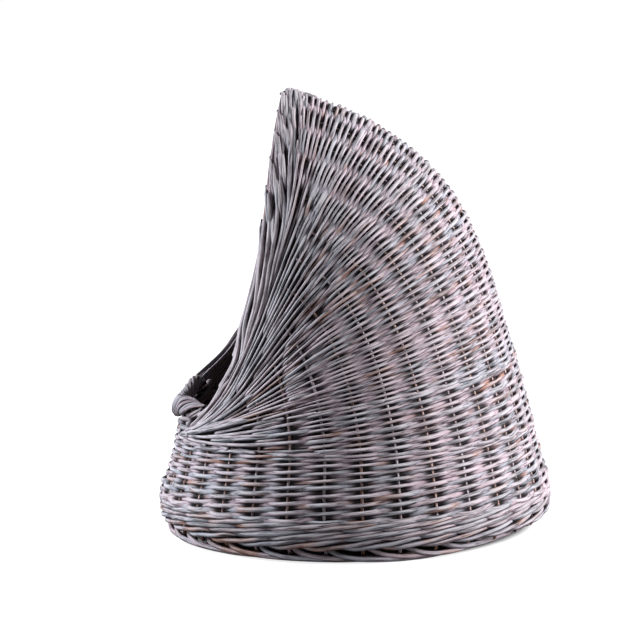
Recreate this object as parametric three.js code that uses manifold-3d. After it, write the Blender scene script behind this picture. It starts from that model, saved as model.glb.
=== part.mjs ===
// Cat basket of woven willow rods: a round basket with a high pointed hood over its back.
// Millimetres, +Z up. The floor is Z = 0, the entrance faces -Y, and the basket is symmetric
// about X = 0. The right side is +X, as seen by someone who faces the entrance.
import * as THREE from "three";
import { mergeVertices } from "three/addons/utils/BufferGeometryUtils.js";
import Module from "manifold-3d";

const wasm = await Module();
wasm.setup();

// Main sizes, on the middle of the side stakes, which stand inside the weave.
const WIDEST_RADIUS = 211;
const SUMMIT_HEIGHT = 492;

// Outline of the basket. Each station is a height, as a share of the summit's, with the
// distance from the middle line to the back, to the side, and the middle line's own place
// along Y, as shares of the widest radius.
const OUTLINE_SHAPE = [
  { height: 0, back: 0.948, side: 0.948, middle: 0 },
  { height: 0.02, back: 0.967, side: 0.967, middle: 0 },
  { height: 0.051, back: 1, side: 1, middle: 0 },
  { height: 0.0915, back: 0.995, side: 0.995, middle: 0 },
  { height: 0.234, back: 0.9265, side: 0.9265, middle: 0 },
  { height: 0.423, back: 0.8175, side: 0.82, middle: 0 },
  { height: 0.608, back: 0.692, side: 0.6825, middle: -0.0285 },
  { height: 0.746, back: 0.543, side: 0.526, middle: -0.0855 },
  { height: 0.8355, back: 0.37, side: 0.398, middle: -0.161 },
  { height: 0.929, back: 0.071, side: 0.237, middle: -0.261 },
  { height: 0.9755, back: -0.173, side: 0.147, middle: -0.313 },
  { height: 1, back: -0.313, side: 0.0665, middle: -0.332 },
];
const OUTLINE = OUTLINE_SHAPE.map(({ height, back, side, middle }) => ({
  z: height * SUMMIT_HEIGHT,
  back: back * WIDEST_RADIUS,
  side: side * WIDEST_RADIUS,
  middle: middle * WIDEST_RADIUS,
}));

// Heights of the courses in the round part of the wall, from the floor up.
const FOOT_HEIGHT = 9;
const FOOT_TO_WALE = 8;
const WALE_HEIGHT = 28;
const LOWER_WEAVE_HEIGHT = 41;
const UPPER_WEAVE_HEIGHT = 28;
const WALE_BOTTOM = FOOT_HEIGHT + FOOT_TO_WALE;
const WALE_TOP = WALE_BOTTOM + WALE_HEIGHT;
const LOWER_WEAVE_TOP = WALE_TOP + LOWER_WEAVE_HEIGHT;
const WALL_TOP = LOWER_WEAVE_TOP + UPPER_WEAVE_HEIGHT;
const WALE_MIDDLE = (WALE_BOTTOM + WALE_TOP) / 2;

// Side stakes.
const STAKE_COUNT = 32;
const STAKE_RADIUS = 3;
const STAKE_SIDES = 5;
const STAKE_CUT_AT_TOP = 4;

// Weave courses, measured from the middle of the stakes along the wall's normal.
const CLEARANCE = 0.35;
const GROOVE_ROOM = 0.8;
const GROOVE = STAKE_RADIUS + GROOVE_ROOM;
const WEAVE_OUTSIDE_AT_STAKE = 7.2;
const WEAVE_OUTSIDE_BETWEEN = 3;
const WEAVE_INSIDE_BETWEEN = 3.2;
const WALE_OUTSIDE_AT_STAKE = 8.4;
const WALE_OUTSIDE_BETWEEN = 7.4;

// Hood: its rows of weave fan out from a corner at each end of the lip, over the back.
const HOOD_COURSES = 6;
const CORNER_ANGLE = 19.4;
const RIM_ROW_CORNER_SETBACK = 12.5;
const RIM_ROW_CORNER_RISE = 12;
const RIM_ROW_BELOW_SUMMIT = 7;
const CORNER_LENGTH = 42;
const CORNER_GAP = 0.6;
// Stakes that would crowd the rows stop early: those next to a corner stop at the wall's
// top, the next one halfway up the hood, and the two at the back before the apex.
const CORNER_STAKE_PLACE = 0.76;
const HALF_STAKE_PLACE = 0.7;
const HALF_STAKE_ROWS = 6;
const RIDGE_STAKE_PLACES = [0.05, 0.12];
const RIDGE_STAKE_ROWS = [9, 11];
// A row's side view is a curve that leaves the corner and arrives at the back with these
// slopes in degrees, with handles as long as these shares of the straight line between.
const ROW_SHAPES = [
  { share: 0, leave: 0, leaveReach: 0.27, arrive: 0, arriveReach: 0.5 },
  { share: 0.25, leave: 24, leaveReach: 0.35, arrive: 12, arriveReach: 0.68 },
  { share: 0.5, leave: 26, leaveReach: 0.31, arrive: 21, arriveReach: 0.62 },
  { share: 0.75, leave: 29, leaveReach: 0.28, arrive: 45, arriveReach: 0.6 },
  { share: 0.9, leave: 37, leaveReach: 0.25, arrive: 66, arriveReach: 0.5 },
  { share: 1, leave: 46, leaveReach: 0.2, arrive: 90, arriveReach: 0.48 },
];

// Entrance rim: long rods that run beside the hood's last row, from the lip to the apex.
const RIM_RODS = 4;
const RIM_ROD_RADIUS = 3.6;
const RIM_ROD_SIDES = 6;
const RIM_EDGE_SETBACK = 0.4;
const RIM_EDGE_RISE = 13;
const RIM_EDGE_BELOW_SUMMIT = 1;
const RIM_EDGE_AHEAD_OF_SUMMIT = 3.7;
const RIM_EDGE_SHAPE = { leave: 51.7, leaveReach: 0.435, arrive: 76.2, arriveReach: 0.282 };
const RIM_START = 0.05;
const RIM_END = 0.955;
const RIM_STEPS = 16;

// Lip: a rolled border on the low front wall, rising towards its two ends.
const LIP_HALF_HEIGHT = 16.5;
const LIP_HALF_DEPTH = 10;
const LIP_SIDES = 8;
const LIP_END_ANGLE = 21.5;
const LIP_LEVEL_ANGLE = 10;
const LIP_RISE_PER_DEGREE = 0.75;
const LIP_STEPS = 16;

// Apex: the wrapped tip where the rim rods of both sides meet.
const APEX_HALF_HEIGHT = 7.5;
const APEX_HALF_WIDTH = 12;
const APEX_HALF_DEPTH = 10;
const APEX_BELOW_SUMMIT = 1.5;
const APEX_FORWARD = 8;
const APEX_SIDES = 12;
const APEX_RINGS = 8;

// Base: sticks in two crossed sets, a disc woven round them, and a foot border below.
const BASE_STICKS_PER_SET = 4;
const BASE_STICK_RADIUS = 4;
const BASE_STICK_SIDES = 8;
const BASE_STICK_SPACING = 7;
const BASE_STICK_ABOVE_WALE = 4;
const BASE_STICK_END_COVER = 3.6;
const BASE_STICK_BEND = 0.3;
const BASE_CROSS_HALF = 24;
const BASE_WEAVE_INNER = 46;
const BASE_WEAVE_HALF_HEIGHT = 6.2;
const FOOT_HALF_WIDTH = 9;
const FOOT_FLAT_HALF_WIDTH = 4;
const FOOT_SETBACK = 1;

const COLOURS = {
  weave: 0x8b828b,
  thinWeave: 0x968d97,
  wale: 0x837a82,
  border: 0x9a8f9a,
  stake: 0xa08f8c,
  base: 0x857a78,
};

// How finely curves are measured, and how close two corners are before they become one.
const ROW_SAMPLES = 240;
const EDGE_SAMPLES = 400;
const SHARE_STEP = 0.02;
const PLACE_STEP = 0.01;
const SAME_CORNER = 1e-4;
const SLOPE_STEP = 1;

const radians = THREE.MathUtils.degToRad;

// A smooth value between stations that never overshoots them (monotone cubic).
function smooth(xs, ys) {
  const steps = xs.slice(1).map((x, i) => x - xs[i]);
  const slopes = steps.map((step, i) => (ys[i + 1] - ys[i]) / step);
  const last = slopes.length - 1;
  const tangents = xs.map((_, i) => {
    if (i === 0) return slopes[0];
    if (i > last) return slopes[last];
    if (slopes[i - 1] * slopes[i] <= 0) return 0;
    const before = 2 * steps[i] + steps[i - 1];
    const after = steps[i] + 2 * steps[i - 1];
    return (before + after) / (before / slopes[i - 1] + after / slopes[i]);
  });
  return (x) => {
    let i = 0;
    while (i < last && x > xs[i + 1]) i += 1;
    const h = steps[i];
    const t = THREE.MathUtils.clamp((x - xs[i]) / h, 0, 1);
    const rise = t * t * (3 - 2 * t);
    const bend = h * t * (1 - t) * (tangents[i] * (1 - t) - tangents[i + 1] * t);
    return ys[i] + (ys[i + 1] - ys[i]) * rise + bend;
  };
}

function column(rows, key, by) {
  return smooth(rows.map((row) => row[by]), rows.map((row) => row[key]));
}

const backAt = column(OUTLINE, "back", "z");
const sideAt = column(OUTLINE, "side", "z");
const middleAt = column(OUTLINE, "middle", "z");

// Corners and ends of the hood's lowest row, its rim row and the entrance edge, seen from
// the side.
const SUMMIT = OUTLINE[OUTLINE.length - 1];
const LOWEST_ROW_CORNER = {
  y: -backAt(WALL_TOP) * Math.cos(radians(CORNER_ANGLE)),
  z: WALL_TOP,
};
const RIM_ROW_CORNER = {
  y: LOWEST_ROW_CORNER.y + RIM_ROW_CORNER_SETBACK,
  z: LOWEST_ROW_CORNER.z + RIM_ROW_CORNER_RISE,
};
const RIM_ROW_TOP_Z = SUMMIT.z - RIM_ROW_BELOW_SUMMIT;
const RIM_EDGE_BOTTOM = {
  y: RIM_ROW_CORNER.y + RIM_EDGE_SETBACK,
  z: RIM_ROW_CORNER.z + RIM_EDGE_RISE,
};
const RIM_EDGE_TOP = {
  y: SUMMIT.back - RIM_EDGE_AHEAD_OF_SUMMIT,
  z: SUMMIT.z - RIM_EDGE_BELOW_SUMMIT,
};

// Half the basket's width at a place in its side view.
function widthAt(y, z) {
  const reach = (y - middleAt(z)) / (backAt(z) - middleAt(z));
  return sideAt(z) * Math.sqrt(Math.max(0, 1 - reach * reach));
}

// Heights of the hood's rows where they cross the back, evenly spaced along the back.
const backHeights = [];
const backLengths = [];
for (let i = 0; i <= EDGE_SAMPLES; i += 1) {
  const z = THREE.MathUtils.lerp(WALL_TOP, RIM_ROW_TOP_Z, i / EDGE_SAMPLES);
  const below = i === 0 ? z : backHeights[i - 1];
  const step = Math.hypot(z - below, backAt(z) - backAt(below));
  backHeights.push(z);
  backLengths.push(i === 0 ? 0 : backLengths[i - 1] + step);
}

function rowHeightAtBack(share) {
  const target = share * backLengths[backLengths.length - 1];
  let i = 1;
  while (i < backLengths.length - 1 && backLengths[i] < target) i += 1;
  const part = (target - backLengths[i - 1]) / (backLengths[i] - backLengths[i - 1]);
  return backHeights[i - 1] + part * (backHeights[i] - backHeights[i - 1]);
}

function sideCurve(start, end, { leave, leaveReach, arrive, arriveReach }) {
  const first = new THREE.Vector2(start.y, start.z);
  const last = new THREE.Vector2(end.y, end.z);
  const chord = first.distanceTo(last);
  const leaving = new THREE.Vector2(Math.cos(radians(leave)), Math.sin(radians(leave)));
  const arriving = new THREE.Vector2(Math.cos(radians(arrive)), Math.sin(radians(arrive)));
  const afterFirst = leaving.multiplyScalar(leaveReach * chord).add(first);
  const beforeLast = arriving.multiplyScalar(-arriveReach * chord).add(last);
  return new THREE.CubicBezierCurve(first, afterFirst, beforeLast, last);
}

function onWall(y, z) {
  return new THREE.Vector3(widthAt(y, z), y, z);
}

const leaveAt = column(ROW_SHAPES, "leave", "share");
const leaveReachAt = column(ROW_SHAPES, "leaveReach", "share");
const arriveAt = column(ROW_SHAPES, "arrive", "share");
const arriveReachAt = column(ROW_SHAPES, "arriveReach", "share");
const rowCache = new Map();

// The half row of the hood at a share from its lowest row (0) to its rim row (1), as points
// from the corner to the back with their distance along the row.
function hoodRow(share) {
  if (rowCache.has(share)) return rowCache.get(share);
  const start = {
    y: THREE.MathUtils.lerp(LOWEST_ROW_CORNER.y, RIM_ROW_CORNER.y, share),
    z: THREE.MathUtils.lerp(LOWEST_ROW_CORNER.z, RIM_ROW_CORNER.z, share),
  };
  const backZ = rowHeightAtBack(share);
  const end = { y: backAt(backZ), z: backZ };
  const curve = sideCurve(start, end, {
    leave: leaveAt(share),
    leaveReach: leaveReachAt(share),
    arrive: arriveAt(share),
    arriveReach: arriveReachAt(share),
  });
  const points = [];
  const lengths = [];
  for (let i = 0; i <= ROW_SAMPLES; i += 1) {
    const t = 1 - (1 - i / ROW_SAMPLES) ** 2;
    const flat = curve.getPoint(t);
    points.push(onWall(flat.x, flat.y));
    lengths.push(i === 0 ? 0 : lengths[i - 1] + points[i].distanceTo(points[i - 1]));
  }
  const row = { points, lengths };
  rowCache.set(share, row);
  return row;
}

// A point on the hood: share picks the row, and place runs along it from -1 at the left
// corner over 0 at the back to 1 at the right corner.
function hoodPoint(share, place) {
  const { points, lengths } = hoodRow(share);
  const target = (1 - Math.abs(place)) * lengths[lengths.length - 1];
  let i = 1;
  while (i < lengths.length - 1 && lengths[i] < target) i += 1;
  const part = (target - lengths[i - 1]) / (lengths[i] - lengths[i - 1]);
  const point = points[i - 1].clone().lerp(points[i], part);
  point.x *= Math.sign(place);
  return point;
}

// The hood's point with its outward normal and the direction to the next row up.
function hoodFrame(share, place) {
  const point = hoodPoint(share, place);
  const low = hoodPoint(Math.max(0, share - SHARE_STEP), place);
  const high = hoodPoint(Math.min(1, share + SHARE_STEP), place);
  const before = hoodPoint(share, Math.max(-1, place - PLACE_STEP));
  const after = hoodPoint(share, Math.min(1, place + PLACE_STEP));
  const along = after.sub(before).normalize();
  const up = high.sub(low).normalize();
  const normal = along.clone().cross(up).normalize();
  const outward = new THREE.Vector3(point.x, point.y, 0);
  if (normal.dot(outward) < 0) normal.negate();
  up.addScaledVector(along, -up.dot(along)).normalize();
  return { point, normal, up };
}

// The same for the round wall at a height, turned by an angle from the front.
function wallFrame(z, degrees) {
  const angle = radians(degrees);
  const spoke = new THREE.Vector3(Math.sin(angle), -Math.cos(angle), 0);
  const slope = (backAt(z + SLOPE_STEP) - backAt(z - SLOPE_STEP)) / (2 * SLOPE_STEP);
  const point = spoke.clone().multiplyScalar(backAt(z)).setZ(z);
  const normal = spoke.clone().setZ(-slope).normalize();
  const up = spoke.clone().multiplyScalar(slope).setZ(1).normalize();
  return { point, normal, up };
}

// Closed mesh from stations that each hold the same even number of corner points in order.
function skin(stations, joinsItself) {
  const corners = stations[0].length;
  const positions = stations.flat().flatMap((point) => [point.x, point.y, point.z]);
  const indices = [];
  const spans = joinsItself ? stations.length : stations.length - 1;
  for (let i = 0; i < spans; i += 1) {
    const here = i * corners;
    const next = ((i + 1) % stations.length) * corners;
    for (let j = 0; j < corners; j += 1) {
      const k = (j + 1) % corners;
      indices.push(here + j, next + j, next + k, here + j, next + k, here + k);
    }
  }
  if (!joinsItself) {
    const end = (stations.length - 1) * corners;
    for (let j = 0; j < corners / 2 - 1; j += 1) {
      const across = corners - 1 - j;
      indices.push(j, j + 1, across - 1, j, across - 1, across);
      indices.push(end + j, end + across - 1, end + j + 1, end + j, end + across, end + across - 1);
    }
  }
  return outward(positions, indices);
}

// Turns every face round if the mesh holds a negative volume.
function outward(positions, indices) {
  const corner = (i) => new THREE.Vector3().fromArray(positions, indices[i] * 3);
  let volume = 0;
  for (let i = 0; i < indices.length; i += 3) {
    volume += corner(i).dot(corner(i + 1).cross(corner(i + 2)));
  }
  if (volume < 0) {
    for (let i = 0; i < indices.length; i += 3) {
      [indices[i], indices[i + 1]] = [indices[i + 1], indices[i]];
    }
  }
  const geometry = new THREE.BufferGeometry();
  geometry.setAttribute("position", new THREE.Float32BufferAttribute(positions, 3));
  geometry.setIndex(indices);
  return geometry;
}

function merged(geometry) {
  geometry.deleteAttribute("normal");
  geometry.deleteAttribute("uv");
  return mergeVertices(geometry, SAME_CORNER);
}

function toManifold(geometry) {
  const source = merged(geometry);
  const vertProperties = new Float32Array(source.attributes.position.array);
  const triVerts = new Uint32Array(source.index.array);
  return new wasm.Manifold(new wasm.Mesh({ numProp: 3, vertProperties, triVerts }));
}

function fromManifold(solid) {
  const mesh = solid.getMesh();
  const geometry = new THREE.BufferGeometry();
  geometry.setAttribute("position", new THREE.Float32BufferAttribute(mesh.vertProperties, 3));
  geometry.setIndex(Array.from(mesh.triVerts));
  return geometry;
}

// A line through chosen points, stepped exactly from one to the next.
class PointLine extends THREE.Curve {
  constructor(points) {
    super();
    this.points = points;
  }

  getPoint(t) {
    const place = t * (this.points.length - 1);
    const i = Math.min(Math.floor(place), this.points.length - 2);
    return this.points[i].clone().lerp(this.points[i + 1], place - i);
  }

  getPointAt(t) {
    return this.getPoint(t);
  }

  getTangentAt(t) {
    const step = 0.5 / (this.points.length - 1);
    const after = this.getPoint(Math.min(1, t + step));
    return after.sub(this.getPoint(Math.max(0, t - step))).normalize();
  }
}

function roundSection(radius, sides) {
  const corners = [];
  for (let i = 0; i < sides; i += 1) {
    const angle = (2 * Math.PI * i) / sides;
    corners.push(new THREE.Vector2(radius * Math.cos(angle), radius * Math.sin(angle)));
  }
  return new THREE.Shape(corners);
}

function rodThrough(points, radius, sides) {
  const section = roundSection(radius, sides);
  const extrudePath = new PointLine(points);
  const rod = new THREE.ExtrudeGeometry(section, { steps: points.length - 1, extrudePath });
  return merged(rod);
}

const basket = new THREE.Group();

function add(parent, name, geometry, color) {
  const material = new THREE.MeshStandardMaterial({ color, roughness: 0.75, metalness: 0 });
  const mesh = new THREE.Mesh(geometry, material);
  mesh.name = name;
  parent.add(mesh);
}

// Places round the wall: one at each stake and one halfway to the next.
const STAKE_SPACING = 360 / STAKE_COUNT;
const stakeAngles = Array.from({ length: STAKE_COUNT }, (_, i) => (i + 0.5) * STAKE_SPACING);
const HOOD_SPAN = 180 - CORNER_ANGLE;

// The hood's stakes keep their place along every row that they cross.
function hoodPlace(degrees) {
  return (180 - degrees) / HOOD_SPAN;
}

function weaveSection(frame, outside, inside, shift) {
  const edge = frame.point.clone().addScaledVector(frame.up, shift);
  return {
    outer: edge.clone().addScaledVector(frame.normal, outside),
    inner: edge.clone().addScaledVector(frame.normal, inside),
  };
}

// One course of weave: at each station its lower, middle and upper frames become a closed
// section, grooved inside where a stake stands.
function weaveCourse(stations, outsideAtStake, outsideBetween, joinsItself) {
  const sections = stations.map(({ frames, atStake }) => {
    const outside = atStake ? outsideAtStake : outsideBetween;
    const inside = atStake ? GROOVE : -WEAVE_INSIDE_BETWEEN;
    const last = frames.length - 1;
    const edges = frames.map((frame, i) => {
      const shift = i === 0 ? CLEARANCE / 2 : i === last ? -CLEARANCE / 2 : 0;
      return weaveSection(frame, outside, inside, shift);
    });
    const outer = edges.map((edge) => edge.outer);
    const inner = edges.map((edge) => edge.inner).reverse();
    return [...outer, ...inner];
  });
  return skin(sections, joinsItself);
}

function wallCourse(heights, outsideAtStake, outsideBetween) {
  const stations = [];
  for (let i = 0; i < 2 * STAKE_COUNT; i += 1) {
    const degrees = (i * STAKE_SPACING) / 2;
    const frames = heights.map((z) => wallFrame(z, degrees));
    stations.push({ frames, atStake: i % 2 === 1 });
  }
  return weaveCourse(stations, outsideAtStake, outsideBetween, true);
}

// The rows' ends pile up over the last stretch before a corner.
const LOWEST_ROW_LENGTH = hoodRow(0).lengths[hoodRow(0).lengths.length - 1];
const COURSE_END = 1 - CORNER_LENGTH / LOWEST_ROW_LENGTH;

// Stations along the hood's rows, from the left corner to the right one.
function hoodStations() {
  const places = [{ place: -COURSE_END, atStake: false }];
  for (let i = 0; i < 2 * STAKE_COUNT; i += 1) {
    const place = hoodPlace((i * STAKE_SPACING) / 2);
    const atStake = i % 2 === 1 && Math.abs(place) < CORNER_STAKE_PLACE;
    if (Math.abs(place) < COURSE_END - PLACE_STEP) places.push({ place, atStake });
  }
  places.push({ place: COURSE_END, atStake: false });
  return places.sort((a, b) => a.place - b.place);
}

function hoodCourse(index) {
  const shares = [index, index + 0.5, index + 1].map((row) => row / HOOD_COURSES);
  const stations = hoodStations().map(({ place, atStake }) => {
    const frames = shares.map((share) => hoodFrame(share, place));
    return { frames, atStake };
  });
  return weaveCourse(stations, WEAVE_OUTSIDE_AT_STAKE, WEAVE_OUTSIDE_BETWEEN, false);
}

// The pile of row ends between the hood's courses and the corner of the lip.
function hoodCorner(side) {
  const gap = CORNER_GAP / LOWEST_ROW_LENGTH;
  const shares = Array.from({ length: 2 * HOOD_COURSES + 1 }, (_, i) => i / (2 * HOOD_COURSES));
  const stations = [COURSE_END + gap, (COURSE_END + 1) / 2, 1].map((place) => {
    const frames = shares.map((share) => hoodFrame(share, side * place));
    return { frames, atStake: false };
  });
  return weaveCourse(stations, WEAVE_OUTSIDE_AT_STAKE, WEAVE_OUTSIDE_BETWEEN, false);
}

// How many half courses of the hood a stake climbs.
function stakeRows(place) {
  if (place > CORNER_STAKE_PLACE) return 0;
  if (place > HALF_STAKE_PLACE) return HALF_STAKE_ROWS;
  const ridge = RIDGE_STAKE_PLACES.findIndex((limit) => place < limit);
  return ridge < 0 ? 2 * HOOD_COURSES : RIDGE_STAKE_ROWS[ridge];
}

// A side stake climbs the wall and, under the hood, on to the rim row.
function sideStake(degrees) {
  const turned = Math.min(degrees, 360 - degrees);
  const foot = FOOT_HEIGHT + CLEARANCE;
  const low = [foot, WALE_BOTTOM, WALE_MIDDLE, WALE_TOP, LOWER_WEAVE_TOP];
  const points = low.map((z) => wallFrame(z, degrees).point);
  const rows = stakeRows(hoodPlace(turned));
  if (rows === 0) {
    points.push(wallFrame(WALL_TOP, degrees).point);
  } else {
    const side = degrees < 180 ? 1 : -1;
    for (let row = 0; row <= rows; row += 1) {
      points.push(hoodPoint(row / (2 * HOOD_COURSES), side * hoodPlace(turned)));
    }
    const before = points[points.length - 2];
    const end = points[points.length - 1];
    end.lerp(before, STAKE_CUT_AT_TOP / end.distanceTo(before));
  }
  return rodThrough(points, STAKE_RADIUS, STAKE_SIDES);
}

function buildWall(parent) {
  const waleHeights = [WALE_BOTTOM, WALE_MIDDLE, WALE_TOP];
  const wale = wallCourse(waleHeights, WALE_OUTSIDE_AT_STAKE, WALE_OUTSIDE_BETWEEN);
  add(parent, "bottom_wale", wale, COLOURS.wale);
  const lower = [WALE_TOP, LOWER_WEAVE_TOP];
  const upper = [LOWER_WEAVE_TOP, WALL_TOP];
  const outside = [WEAVE_OUTSIDE_AT_STAKE, WEAVE_OUTSIDE_BETWEEN];
  add(parent, "wall_weave_lower", wallCourse(lower, ...outside), COLOURS.weave);
  add(parent, "wall_weave_upper", wallCourse(upper, ...outside), COLOURS.thinWeave);
}

function buildStakes(parent) {
  stakeAngles.forEach((degrees, i) => {
    const onRight = degrees < 180;
    const number = onRight ? i + 1 : STAKE_COUNT - i;
    const name = `stake_${onRight ? "right" : "left"}_${String(number).padStart(2, "0")}`;
    add(parent, name, sideStake(degrees), COLOURS.stake);
  });
}

function buildHood(parent) {
  for (let i = 0; i < HOOD_COURSES; i += 1) {
    const colour = i % 2 === 0 ? COLOURS.weave : COLOURS.thinWeave;
    add(parent, `hood_weave_${i + 1}`, hoodCourse(i), colour);
  }
  add(parent, "hood_corner_right", hoodCorner(1), COLOURS.weave);
  add(parent, "hood_corner_left", hoodCorner(-1), COLOURS.weave);
}

const rimEdge = sideCurve(RIM_EDGE_BOTTOM, RIM_EDGE_TOP, RIM_EDGE_SHAPE);
const rimEdgePoints = rimEdge.getPoints(EDGE_SAMPLES).map((flat) => onWall(flat.x, flat.y));

function nearestOnRimEdge(point) {
  return rimEdgePoints.reduce((best, candidate) => {
    return candidate.distanceTo(point) < best.distanceTo(point) ? candidate : best;
  });
}

// Corners round a centre, the first of them turned from the first half axis by a share of
// the step between two corners.
function ringAround(centre, firstHalf, secondHalf, sides, turn) {
  const ring = [];
  for (let i = 0; i < sides; i += 1) {
    const angle = (2 * Math.PI * (i + turn)) / sides;
    const corner = centre.clone().addScaledVector(firstHalf, Math.cos(angle));
    ring.push(corner.addScaledVector(secondHalf, Math.sin(angle)));
  }
  return ring;
}

// The rim rods lie side by side between the hood's last row and the entrance edge.
function rimRod(side, index) {
  const stations = [];
  for (let i = 0; i <= RIM_STEPS; i += 1) {
    const t = THREE.MathUtils.lerp(RIM_START, RIM_END, i / RIM_STEPS);
    const weave = hoodPoint(1, 1 - t);
    const across = nearestOnRimEdge(weave).clone().sub(weave);
    const width = across.length();
    const radius = Math.min(RIM_ROD_RADIUS, (width - CLEARANCE * RIM_RODS) / (2 * RIM_RODS));
    const offset = (2 * radius + CLEARANCE) * index + radius + CLEARANCE;
    const centre = weave.addScaledVector(across.normalize(), offset);
    centre.x *= side;
    stations.push({ centre, radius });
  }
  const rings = stations.map(({ centre, radius }, i) => {
    const before = stations[Math.max(0, i - 1)].centre;
    const after = stations[Math.min(RIM_STEPS, i + 1)].centre;
    const along = after.clone().sub(before).normalize();
    const first = new THREE.Vector3(0, -1, 0).cross(along).normalize();
    const second = along.clone().cross(first);
    first.multiplyScalar(radius);
    second.multiplyScalar(radius);
    return ringAround(centre, first, second, RIM_ROD_SIDES, 0);
  });
  return skin(rings, false);
}

function buildRim(parent) {
  for (const [name, side] of [["right", 1], ["left", -1]]) {
    for (let i = 0; i < RIM_RODS; i += 1) {
      add(parent, `rim_rod_${name}_${i + 1}`, rimRod(side, i), COLOURS.border);
    }
  }
}

// The border lies flat along the wall's top and rises, along the wall's slope, to its ends.
function lipBorder() {
  const cornerReach = 1 / Math.cos(Math.PI / LIP_SIDES);
  const rings = [];
  for (let i = 0; i <= LIP_STEPS; i += 1) {
    const degrees = THREE.MathUtils.lerp(-LIP_END_ANGLE, LIP_END_ANGLE, i / LIP_STEPS);
    const rise = Math.max(0, Math.abs(degrees) - LIP_LEVEL_ANGLE) * LIP_RISE_PER_DEGREE;
    const { point, normal, up } = wallFrame(WALL_TOP, degrees);
    const centre = point.addScaledVector(up, CLEARANCE + LIP_HALF_HEIGHT + rise);
    normal.multiplyScalar(LIP_HALF_DEPTH * cornerReach);
    up.multiplyScalar(LIP_HALF_HEIGHT * cornerReach);
    rings.push(ringAround(centre, normal, up, LIP_SIDES, 0.5));
  }
  return skin(rings, false);
}

function apexWrap() {
  const wrap = new THREE.SphereGeometry(1, APEX_SIDES, APEX_RINGS);
  wrap.rotateX(Math.PI / 2);
  wrap.scale(APEX_HALF_WIDTH, APEX_HALF_DEPTH, APEX_HALF_HEIGHT);
  wrap.translate(0, backAt(RIM_ROW_TOP_Z) - APEX_FORWARD, SUMMIT.z - APEX_BELOW_SUMMIT);
  return merged(wrap);
}

const BASE_STICK_Z = WALE_BOTTOM + BASE_STICK_ABOVE_WALE;
const BASE_BOTTOM = BASE_STICK_Z - BASE_WEAVE_HALF_HEIGHT;
const BASE_TOP = BASE_STICK_Z + BASE_WEAVE_HALF_HEIGHT;
const BASE_OUTER = backAt(BASE_BOTTOM) - STAKE_RADIUS - CLEARANCE;

// A base stick runs beside its fellows across the middle, then fans out to the edge.
function baseStick(index, lift, radius) {
  const middle = (BASE_STICKS_PER_SET - 1) / 2;
  const offset = (index - middle) * BASE_STICK_SPACING;
  const turn = radians((index - middle) * (90 / BASE_STICKS_PER_SET));
  const end = new THREE.Vector3(Math.sin(turn), Math.cos(turn), 0);
  end.multiplyScalar(BASE_OUTER - BASE_STICK_END_COVER).setZ(BASE_STICK_Z);
  const inner = new THREE.Vector3(offset, BASE_CROSS_HALF, BASE_STICK_Z + lift);
  const bend = inner.clone().lerp(end, BASE_STICK_BEND).setZ(BASE_STICK_Z);
  const points = [end, bend, inner];
  const far = points.map((point) => point.clone().setY(-point.y)).reverse();
  return rodThrough([...points, ...far], radius, BASE_STICK_SIDES);
}

function baseStickSet(lift, turned, radius) {
  let set = null;
  for (let i = 0; i < BASE_STICKS_PER_SET; i += 1) {
    const geometry = baseStick(i, lift, radius);
    if (turned) geometry.rotateZ(Math.PI / 2);
    const stick = toManifold(geometry);
    set = set === null ? stick : set.add(stick);
  }
  return set;
}

function latheRing(profile, segments) {
  const points = profile.map(([r, z]) => new THREE.Vector2(r, z));
  points.push(points[0].clone());
  const ring = new THREE.LatheGeometry(points, segments);
  ring.rotateX(Math.PI / 2);
  const source = merged(ring);
  return outward(Array.from(source.attributes.position.array), Array.from(source.index.array));
}

function buildBase(parent) {
  const profile = [
    [BASE_WEAVE_INNER, BASE_BOTTOM],
    [BASE_OUTER, BASE_BOTTOM],
    [BASE_OUTER, BASE_TOP],
    [BASE_WEAVE_INNER, BASE_TOP],
  ];
  const lift = BASE_STICK_RADIUS + CLEARANCE / 2;
  const sets = [
    { name: "base_sticks_lower", rise: -lift, turned: false },
    { name: "base_sticks_upper", rise: lift, turned: true },
  ];
  let weave = toManifold(latheRing(profile, 2 * STAKE_COUNT));
  for (const { name, rise, turned } of sets) {
    const set = baseStickSet(rise, turned, BASE_STICK_RADIUS);
    weave = weave.subtract(baseStickSet(rise, turned, BASE_STICK_RADIUS + CLEARANCE));
    add(parent, name, fromManifold(set), COLOURS.base);
  }
  add(parent, "base_weave", fromManifold(weave), COLOURS.base);
  const middle = backAt(0) - FOOT_SETBACK;
  const foot = [
    [middle - FOOT_FLAT_HALF_WIDTH, 0],
    [middle + FOOT_FLAT_HALF_WIDTH, 0],
    [middle + FOOT_HALF_WIDTH, FOOT_HEIGHT / 2],
    [middle + FOOT_FLAT_HALF_WIDTH, FOOT_HEIGHT],
    [middle - FOOT_FLAT_HALF_WIDTH, FOOT_HEIGHT],
    [middle - FOOT_HALF_WIDTH, FOOT_HEIGHT / 2],
  ];
  add(parent, "foot_border", latheRing(foot, 2 * STAKE_COUNT), COLOURS.border);
}

buildBase(basket);
buildStakes(basket);
buildWall(basket);
buildHood(basket);
buildRim(basket);
add(basket, "lip_border", lipBorder(), COLOURS.border);
add(basket, "apex_wrap", apexWrap(), COLOURS.border);

export default basket;
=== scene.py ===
import math

import bpy
import numpy as np
from mathutils import Matrix, Vector


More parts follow.
